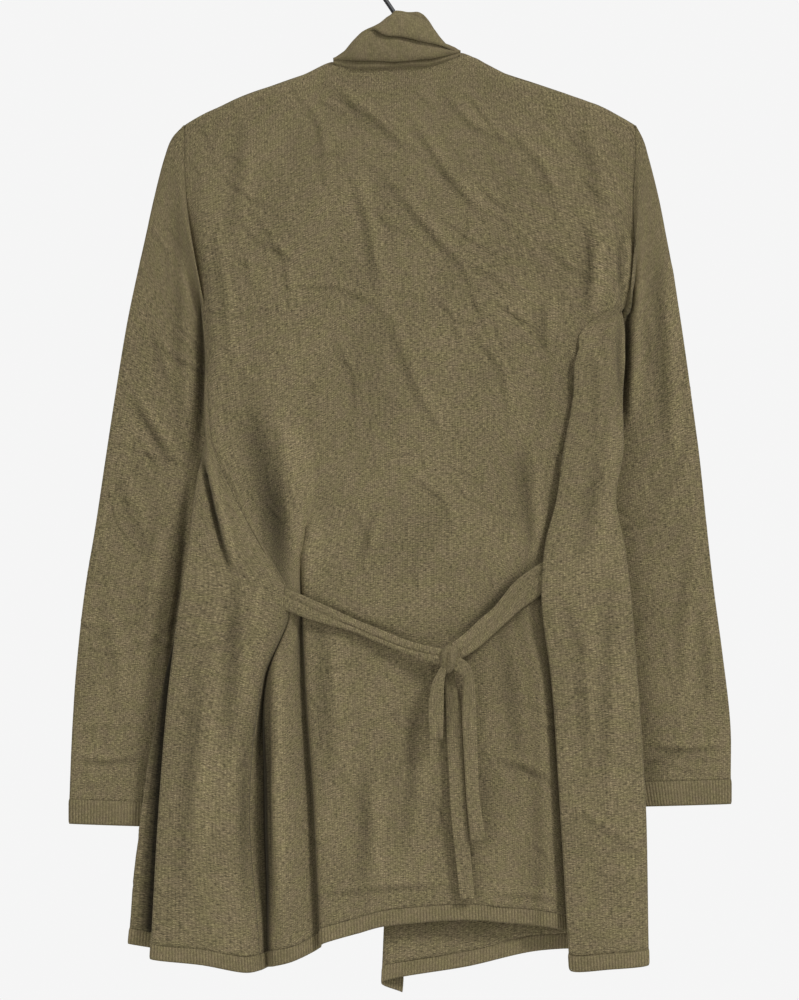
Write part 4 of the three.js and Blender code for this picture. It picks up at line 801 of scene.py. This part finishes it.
def fold_shade(grid, places, shades):
    """How much darker the cloth is painted in a fold, as painted shade, in the terms of the painted-shade
    attribute. Each shade is the fold's line, the places it lies between, its depth, its reach across in
    millimetres and the height it starts at."""
    total = np.zeros(grid.shape[:2])
    for line, first, last, depth, reach, top in shades:
        column = np.argmin(np.abs(places - line))
        away = np.abs(grid[..., 0] - grid[:, column, 0][:, None])
        inside = ease((places - first) / 0.3) * ease((last - places) / 0.3)
        total += depth * np.exp(-((away / reach) ** 2)) * inside[None, :] * ease((top - grid[..., 2]) / 50)
    return total


def panel(name, node, table, side, first, last, size, outside, creases, waves, under=None, shades=()):
    """A body panel: its lines joined by splines, raised by creases and slow waves, with painted shade in the
    creases' troughs, painted light on their ridges and more painted shade from shades, laid on the cloth
    under it if there is any, and given the cloth's thickness. side is -1 for the back and 1 for a front,
    outside turns the normals outward, and size is the number of columns and rows."""
    columns, rows = size
    turn = SHOULDER_TURN * (1 - np.cos(np.linspace(0, math.pi / 2, 8)))
    share = np.concatenate([np.zeros(8), np.linspace(0, 1, rows)[1:]])
    drop = np.concatenate([turn, SHOULDER_TURN * (1 - np.linspace(0, 1, rows)[1:])])
    lines = panel_lines(table, side, share, drop)
    places, u = even_places(lines, first, last, columns)
    grid = spline(lines, places)
    top = share == 0
    grid[top, :, 1] = side * np.maximum(side * grid[top, :, 1], SEAM_GAP / 2)
    for edge, beside in ((0, 1), (-1, -2)):
        step = grid[:, beside] - grid[:, edge]
        if edge == 0 or side == -1:
            grid[:, edge] += step * (0.5 * SEAM_GAP / np.linalg.norm(step, axis=1))[:, None]
    v = along(grid, 0)
    normals = grid_normals(grid) * outside
    away = np.minimum(np.arange(columns), np.arange(columns)[::-1]) / 4
    calm = np.clip(away, 0, 1)[None, :] * np.clip(np.arange(len(grid)) / 12, 0, 1)[:, None]
    folds = creased(grid[..., 0], grid[..., 2], creases)
    rise = folds + undulation(grid[..., 0], grid[..., 2], waves)
    grid = grid + normals * (rise * calm * np.abs(normals[..., 1]))[..., None]
    # The creases' troughs and the fold shades are painted shade in the colour, the creases' ridges painted
    # light.
    folds = folds * calm - fold_shade(grid, places, shades)
    if under is not None:
        settle(grid, places, tree_of(under))
    normals = grid_normals(grid) * outside
    normals[0] = unit(normals[0] * [0.2, 0.2, 1])
    made = thin_shell(name, grid, normals, u, v, rise=folds)
    return put(made, node, knit, u, v)


def hem(name, node, table, side, first, last, outside):
    """A ribbed hem under a panel: the panel's lines carried on down, with round ribs on both faces."""
    share = np.ones(9)
    drop = HEM_GAP + np.linspace(0, HEM_DEPTH, 9)
    lines = panel_lines(table, side, share, drop)
    run = even_places(lines, first, last, 60)[1]
    ribs = round(run[-1] / RIB_PITCH)
    places, u = even_places(lines, first, last, ribs * RIB_COLUMNS + 1)
    grid = spline(lines, places)
    return band(name, node, grid, u, outside, False)


def band(name, node, grid, u, outside, wrap):
    """Ribs over a strip: both faces rise in rounded crests, those of one face over the other's grooves,
    which carry painted shade while the crests carry a faint painted light. They are lower at the strip's two
    ends, which carry painted shade too."""
    rows = len(grid)
    normals = grid_normals(grid, wrap)
    normals[..., 2] = 0
    normals = unit(normals) * outside
    wave = np.abs(np.cos(math.pi * u[:grid.shape[1]] / RIB_PITCH)) ** 0.8
    fullness = np.array([0.55, 0.9] + [1.0] * (rows - 4) + [0.95, 0.6])[:, None]
    front = (CLOTH / 2 + RIB_RISE * wave[None, :]) * fullness
    # Painted shade in the grooves and at the strip's ends, faint painted light on the crests.
    groove = np.broadcast_to(CREST_PAINTED_LIGHT - GROOVE_PAINTED_SHADE * (1 - wave[None, :]), grid.shape[:2])
    folds = groove * fullness - END_PAINTED_SHADE * (1 - fullness)
    behind = -(CLOTH / 2 + RIB_RISE * 0.6 * (1 - wave[None, :])) * fullness
    v = along(grid, 0)
    made = shell(name, offset(grid, normals, front, wrap), offset(grid, normals, behind, wrap), u, v,
                 wrap, folds)
    return put(made, node, rib_knit, u, v)


def oval(outer, inner, half, angle):
    """A ring of a flat sleeve: from the outer fold over the near side to the inner fold and back behind."""
    share = 0.5 - 0.5 * np.cos(angle)
    ring = outer + (inner - outer) * share[:, None]
    ring[:, 1] -= half * np.sign(np.sin(angle)) * np.abs(np.sin(angle)) ** 0.8
    return ring


def sleeve(name, node, table, front, outward, outside, creases, sides=108, rows=220):
    """A sleeve: rings from the armhole to the cuff joined by splines, with creases that are weaker on its far
    side and paint shade into their troughs and light onto their ridges, slow waves and the cloth's thickness."""
    angle = np.linspace(0, 2 * math.pi, sides, endpoint=False)
    level = np.linspace(0, 0.4, 400)
    edges = []
    for lines, side, line in ((BACK, -1, 1 if outward < 0 else len(BACK) - 2), (front, 1, 1)):
        points = panel_lines(lines, side, level, SHOULDER_TURN * (1 - level))
        edges.append(points[line][::-1])
    share = 0.5 - 0.5 * np.cos(angle)
    z = ARMHOLE_TOP + (ARMPIT - ARMHOLE_TOP) * share
    armhole = np.zeros((sides, 3))
    for edge, here in ((edges[0], angle <= math.pi), (edges[1], angle > math.pi)):
        for axis in (0, 1):
            armhole[here, axis] = np.interp(z[here], edge[:, 2], edge[:, axis])
    armhole[:, 0] += outward * SLEEVE_SEAM_GAP * (1 + share)
    armhole[:, 2] = z - share * SLEEVE_SEAM_GAP
    rings = [armhole] + [oval(np.array(outer, float), np.array(inner, float), half, angle)
                         for outer, inner, half in table]
    rings = np.array(rings)
    places, v = even_places(rings, 0, len(rings) - 1, rows)
    grid = np.swapaxes(spline(rings, places), 0, 1)
    span = np.linalg.norm(grid - np.roll(grid, 1, axis=1), axis=2).mean(axis=0)
    u = running(np.roll(span, -1))
    normals = grid_normals(grid, True) * outside
    calm = np.clip(np.arange(rows) / 3, 0, 1)[:, None] * np.clip(np.arange(rows)[::-1] / 4, 0, 1)[:, None]
    strength = FAR_CREASES + (1 - FAR_CREASES) * ease(0.5 - 1.5 * normals[..., 1])
    folds = creased(grid[..., 0], grid[..., 2], creases) * strength
    rise = folds + undulation(grid[..., 0], grid[..., 2], 0.5)
    grid = grid + normals * (rise * calm * np.abs(normals[..., 1]))[..., None]
    normals = grid_normals(grid, True) * outside
    # The creases also paint shade into the colour of their troughs and light onto their ridges.
    made = thin_shell(name, grid, normals, u, v, True, folds * calm)
    return put(made, node, knit, u, v)


def cuff(name, node, row, outside, taper):
    """A ribbed cuff that carries on from the sleeve's last ring, its inner fold going outward by taper."""
    fine = np.linspace(0, 2 * math.pi, 3000)
    outer, inner, half = np.array(row[0], float), np.array(row[1], float), row[2]
    ring = oval(outer, inner, half, fine)
    run = running(np.linalg.norm(np.diff(ring, axis=0), axis=1))
    ribs = round(run[-1] / RIB_PITCH)
    u = np.linspace(0, run[-1], ribs * RIB_COLUMNS + 1)
    ring = np.stack([np.interp(u[:-1], run, ring[:, axis]) for axis in range(3)], axis=1)
    drops = CUFF_GAP + np.linspace(0, CUFF_DEPTH, 12)
    inward = (ring[:, 0] - outer[0]) / (inner[0] - outer[0])
    grid = np.array([ring - np.stack([taper * drop * inward, 0 * inward, drop + 0 * inward], axis=1)
                     for drop in drops])
    return band(name, node, grid, u, outside, True)


def strap(name, node, table, bow, columns=24, rows=110, fold=0.0):
    """A tie's strip: stations joined by a spline, bowed across, with one lengthwise groove, a ridge beside it
    and soft waves, all in terms of fold."""
    across = np.linspace(0, 1, columns)
    arch = bow * (1 - (2 * across - 1) ** 2)
    stations = np.array([np.stack([ax + (bx - ax) * across, y - arch, az + (bz - az) * across], axis=1)
                         for ax, az, bx, bz, y in table])
    places, v = even_places(stations, 0, len(stations) - 1, rows)
    grid = np.swapaxes(spline(stations, places), 0, 1)
    u = along(grid, 1)
    normals = grid_normals(grid)
    facing = -np.sign(normals[..., 1].mean())
    normals = normals * facing
    middle = 0.5 + 0.16 * np.sin(v[:, None] / 31 + columns)
    away = across[None, :] - middle
    rise = fold * (0.5 * np.sin(v[:, None] / 17 + 4 * across) - 3.4 * np.exp(-(away / 0.1) ** 2)
                   + 0.9 * np.exp(-((away - 0.2) / 0.12) ** 2))
    grid = grid + normals * rise[..., None]
    normals = grid_normals(grid) * facing
    edge = np.clip(np.minimum(across, 1 - across) / 0.08, 0.35, 1)[None, :] ** 0.5
    depth = np.broadcast_to(TIE_CLOTH / 2 * edge, grid.shape[:2])
    made = shell(name, offset(grid, normals, depth), offset(grid, normals, -depth), u, v)
    return put(made, node, tie_knit, u, v)


def collar():
    """The rolled collar: a section with three turns, carried along smoothed curves from one neck point to the
    other and flattened towards both."""
    x = np.linspace(*COLLAR_ENDS, COLLAR_GRID[0])
    curves = {}
    for name, points in COLLAR_CURVES.items():
        fine = np.interp(x, *np.array(points, float).T)
        curves[name] = np.convolve(np.pad(fine, 2, mode="edge"), CURVE_SMOOTHING, mode="valid")
    ends = np.minimum(x - COLLAR_ENDS[0], COLLAR_ENDS[1] - x)
    full = END_FULLNESS + (1 - END_FULLNESS) * ease(ends / END_REACH)
    flat = ease(ends / 6)
    lines = []
    opening = ease((x - FOLD_OPENS) / 12)
    for place, (low, high, share, y, lift) in enumerate(COLLAR_SECTION):
        z = curves[low] + (curves[high] - curves[low]) * share + lift * flat
        if FOLD_PLACES[0] <= place <= FOLD_PLACES[1]:
            along_fold = (place - FOLD_PLACES[0]) / (FOLD_PLACES[1] - FOLD_PLACES[0])
            closed = curves["roll"] + (curves["crest"] - curves["roll"]) * (0.86 + 0.12 * along_fold)
            z = closed + (z - closed) * opening
            lying = LYING_DEPTH + 1.6 * along_fold
            y = lying + (y - lying) * opening
        lines.append(np.stack([x, NECK_DEPTH + (y - NECK_DEPTH) * full, z], axis=1))
    lines = np.array(lines)
    places, v = even_places(lines, 0, len(COLLAR_SECTION) - 1, COLLAR_GRID[1])
    grid = np.swapaxes(spline(lines, places), 0, 1)
    normals = grid_normals(grid)
    grid = grid + normals * (0.25 * np.sin(x / 5.1 + 0.4 * v[:, None]) * flat)[..., None]
    u = along(grid, 1)
    made = thin_shell("collar_roll", grid, normals, u, v)
    return put(made, "collar", collar_knit, u, v)


def knot():
    """The knot: a soft pillow with one tie wrapped upright over it, narrower at its foot, with grooves beside
    the wrap and shallow folds."""
    turn = np.linspace(0, 2 * math.pi, KNOT["sides"], endpoint=False)[None, :]
    rise = np.linspace(0.03, math.pi - 0.03, 60)[:, None]

    def blunt(value, power):
        return np.sign(value) * np.abs(value) ** power

    x = np.sin(rise) * np.cos(turn)
    y = np.sin(rise) * np.sin(turn)
    z = np.cos(rise) + 0 * turn
    half = KNOT["half"]
    narrow = 0.84 + 0.16 * z

    def upright(at, width):
        return np.exp(-(((x * narrow - at - 0.06 * z) / width) ** 2))

    wrap = 1 + 0.5 * upright(0.34, 0.36) * (np.abs(z) < 0.98)
    groove = 1 - 0.36 * upright(-0.14, 0.1) - 0.3 * upright(0.8, 0.1)
    folds = 1 + 0.05 * np.sin(9 * x + 4 * z) + 0.05 * np.sin(8 * z - 7 * x)
    grid = np.stack([KNOT["x"] + 1.5 * z + half[0] * 0.92 * narrow * blunt(x, 0.8),
                     KNOT["y"] + half[1] * blunt(y, 0.8) * np.where(y < 0, wrap * groove, 1) * folds,
                     KNOT["z"] + half[2] * 1.08 * blunt(z, 0.85)], axis=2)
    normals = grid_normals(grid, True)
    middle = np.array([KNOT["x"], KNOT["y"], KNOT["z"]])
    normals *= np.sign(np.sum(normals * (grid - middle), axis=2).mean())
    u = np.linspace(0, KNOT["girth"], KNOT["sides"] + 1)
    v = along(grid, 0)
    made = shell("tie_knot", grid, grid - normals * CLOTH, u, v, True)
    return put(made, "knot", tie_knit, u, v)


STRAND_SIDES = 6
STRAND_STEP = 1.4
STRAND_SHORTEST = 4


def sewing(name, pieces, paths, radius, finish):
    """Raised sewing: thin round strands laid along paths on the cloth, each half set into it."""
    trees = [tree_of(piece) for piece in pieces]
    points, faces = [], []
    for path in paths:
        path = placed(path)
        run = running(np.linalg.norm(np.diff(path, axis=0), axis=1))
        at = np.linspace(0, run[-1], max(STRAND_SHORTEST, round(run[-1] / STRAND_STEP)))
        x, z = np.interp(at, run, path[:, 0]), np.interp(at, run, path[:, 1])
        line = []
        for px, pz in zip(x, z):
            found = [surface_at(tree, px, pz) for tree in trees]
            depths = [depth for depth in found if depth is not None]
            if depths:
                line.append((px, min(depths), pz))
        if len(line) < STRAND_SHORTEST:
            continue
        line = np.array(line)
        line[1:-1, 1] = (line[:-2, 1] + line[1:-1, 1] + line[2:, 1]) / 3
        heading = unit(np.gradient(line, axis=0))
        across = unit(np.cross(heading, [0, -1, 0]))
        outward = np.cross(across, heading)
        from_end = np.minimum(np.arange(len(line)), np.arange(len(line))[::-1])
        thin = radius * np.sqrt(np.clip(from_end / 2, 0.1, 1))
        first = len(points)
        for place, a, b, r in zip(line, across, outward, thin):
            for turn in np.arange(STRAND_SIDES) * 2 * math.pi / STRAND_SIDES:
                points.append((place + (a * math.cos(turn) + b * math.sin(turn)) * r) * MM)
        for k in range(len(line) - 1):
            here = first + k * STRAND_SIDES
            for turn in range(STRAND_SIDES):
                a, b = here + turn, here + (turn + 1) % STRAND_SIDES
                faces.append((a, b, b + STRAND_SIDES, a + STRAND_SIDES))
        last = first + (len(line) - 1) * STRAND_SIDES
        faces.append(tuple(first + turn for turn in reversed(range(STRAND_SIDES))))
        faces.append(tuple(last + turn for turn in range(STRAND_SIDES)))
    mesh = bpy.data.meshes.new(name)
    mesh.from_pydata([tuple(point) for point in points], [], faces)
    cloth = mesh.uv_layers.new(name="cloth")
    for corner in mesh.loops:
        where = mesh.vertices[corner.vertex_index].co
        cloth.data[corner.index].uv = (where.x, where.z)
    mesh.polygons.foreach_set("use_smooth", np.ones(len(mesh.polygons), bool))
    mesh.update()
    made = link(name, mesh)
    made.data.materials.append(finish)
    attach(made, "root")


upper = crumples(11, 80, (190, 80), (640, 330), 48, 26, 1.3)
middle = crumples(12, 66, (200, 320), (590, 600), 70, 34, 1.1)
lower = crumples(13, 66, (270, 600), (580, 900), 10, 40, 0.95)
BACK_LAST = len(BACK) - 2
LEFT_LAST = len(LEFT_FRONT) - 1
RIGHT_LAST = len(RIGHT_FRONT) - 1
HEM_INSET = 0.02
# The shades given to the panels paint shade beside their deepest folds.
back = panel("back_panel", "back", BACK, -1, 1, BACK_LAST, (190, 250), 1,
             deeper(BACK_CREASES, 1.35) + upper + middle + lower, 1.1,
             shades=[(2, 1, 3, 9, 3.4, -640), (5, 4.2, 5.9, 4.5, 4, -560), (16, 15, 18, 4, 5, -400)])
left_front = panel("left_front_panel", "front_left", LEFT_FRONT, 1, 1, LEFT_LAST, (164, 214), -1,
                   LEFT_FRONT_CREASES + crumples(21, 54, (90, 480), (290, 930), 5, 40, 1.0), 0.9,
                   shades=[(4, 4.35, 7.5, 13, 7.5, -350)])
right_front = panel("right_front_panel", "front_right", RIGHT_FRONT, 1, 1, RIGHT_LAST, (172, 214), 1,
                    RIGHT_FRONT_CREASES + crumples(22, 46, (550, 380), (660, 930), 5, 40, 1.0), 0.9,
                    under=back)
hem_back = hem("back_hem", "hem_back", BACK, -1, 1 + HEM_INSET, BACK_LAST - HEM_INSET, 1)
hem_left = hem("left_front_hem", "hem_left", LEFT_FRONT, 1, 1 + HEM_INSET, LEFT_LAST, -1)
hem_right = hem("right_front_hem", "hem_right", RIGHT_FRONT, 1, 1 + HEM_INSET, RIGHT_LAST, 1)
left_sleeve = sleeve("left_sleeve", "sleeve_left", LEFT_SLEEVE, LEFT_FRONT, -1, 1,
                     LEFT_SLEEVE_CREASES + crumples(31, 54, (80, 200), (190, 790), 20, 45, 1.2))
right_sleeve = sleeve("right_sleeve", "sleeve_right", RIGHT_SLEEVE, RIGHT_FRONT, 1, -1,
                      RIGHT_SLEEVE_CREASES + crumples(32, 54, (610, 200), (720, 780), 160, 45, 1.2))
left_cuff = cuff("left_cuff", "cuff_left", LEFT_SLEEVE[-1], 1, 0.04)
right_cuff = cuff("right_cuff", "cuff_right", RIGHT_SLEEVE[-1], -1, -0.2)
collar_roll = collar()
left_tie = strap("left_tie", "tie_left", LEFT_TIE, 0.8, fold=0.35)
right_tie = strap("right_tie", "tie_right", RIGHT_TIE, 0.8, fold=0.35)
loop = strap("bow_loop", "tie_loop", LOOP, 0, rows=140, fold=0.04)
long_end = strap("long_tie_end", "tie_end_long", LONG_END, 0.5, fold=0.1)
short_end = strap("short_tie_end", "tie_end_short", SHORT_END, 0.5, fold=0.1)
knot()

# The raised seams: shoulder and armhole on both sides, and the left side seam.
seam_paths = [
    [(182, 152), (182, 144), (185, 135), (192, 127), (203, 118), (216, 111), (232, 104)],
    [(182, 152), (185, 164), (189, 180), (192, 196)],
    [(637, 150), (637, 141), (634, 132), (626, 124), (612, 115), (596, 109)],
    [(637, 150), (636, 165), (635, 185), (634, 200)],
    [(208, 432), (217, 452), (232, 484), (248, 519), (269, 559), (284, 585)],
]
NECK_STITCH = [(395.5, 66), (397, 64.6), (398.4, 66)]

# The rows of pale stitches under both shoulder seams: their number, start, reach, way inward and drop.
MARK_ROWS = ((13, (187, 151), (45, 40), 1, 3.6), (9, (631, 147), (34, 30), -1, 3.4))
mark_paths = []
for count, (left, foot), (width, height), inward, drop in MARK_ROWS:
    for t in (k / (count - 1) for k in range(count)):
        x, y = left + inward * width * t, foot - height * t**0.86
        mark_paths.append([(x, y), (x + inward * (2.0 + t), y + drop - t)])
sewing("seam_ridges", [back, left_sleeve, right_sleeve, left_front], seam_paths, 0.5, knit)
sewing("shaping_marks", [back], mark_paths, 0.55, pale_knit)
sewing("thread_knot", [collar_roll, back], [NECK_STITCH], 0.7, pale_knit)

for name, finish in (("hanger_arms", black_finish("hanger_plastic", 0.5, 900, 0.0)),
                     ("hanger_hook", black_finish("hook_paint", 0.32, 1400, 0.2))):
    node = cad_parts[name]
    node.data.materials.clear()
    node.data.materials.append(finish)


def disc(name, radius, z, finish, sides=96):
    """A flat round floor: one face with a ring of corners."""
    angle = np.linspace(0, 2 * math.pi, sides, endpoint=False)
    points = np.stack([radius * np.cos(angle), radius * np.sin(angle), 0 * angle + z], axis=1)
    mesh = bpy.data.meshes.new(name)
    mesh.from_pydata(points.tolist(), [], [list(range(sides))])
    made = link(name, mesh)
    made.data.materials.append(finish)
    return made


FLOOR_GREY = (0.86, 0.86, 0.86, 1)
FLOOR_RADIUS = 2.2
FLOOR_HEIGHT = -1.35
WALL_GREY = (0.915, 0.915, 0.915, 1)
ROOM_LIGHT = 0.45
pale = bpy.data.materials.new("pale_floor")
pale.use_nodes = True
paint = pale.node_tree.nodes["Principled BSDF"].inputs
paint["Base Color"].default_value = FLOOR_GREY
paint["Roughness"].default_value = 0.9
floor = disc("floor", FLOOR_RADIUS, FLOOR_HEIGHT, pale)

world = bpy.data.worlds.new("room")
bpy.context.scene.world = world
world.use_nodes = True
sky = world.node_tree
sky.nodes.clear()
seen = add(sky, "ShaderNodeBackground", {"Color": WALL_GREY, "Strength": 1.0})
lit = add(sky, "ShaderNodeBackground", {"Color": (1, 1, 1, 1), "Strength": ROOM_LIGHT})
ray = add(sky, "ShaderNodeLightPath").outputs["Is Camera Ray"]
both = add(sky, "ShaderNodeMixShader", {0: ray, 1: lit.outputs[0], 2: seen.outputs[0]})
sky.links.new(both.outputs[0], add(sky, "ShaderNodeOutputWorld").inputs[0])


def sun(name, strength, softness, azimuth, elevation):
    """A soft distant light from an azimuth measured from the camera's side, and an elevation."""
    light = bpy.data.lights.new(name, "SUN")
    light.energy = strength
    light.angle = math.radians(softness)
    made = link(name, light)
    made.rotation_euler = (math.radians(90 - elevation), 0, math.radians(azimuth))


sun("key", strength=1.6, softness=11, azimuth=42, elevation=40)
sun("fill", strength=0.5, softness=40, azimuth=-38, elevation=12)
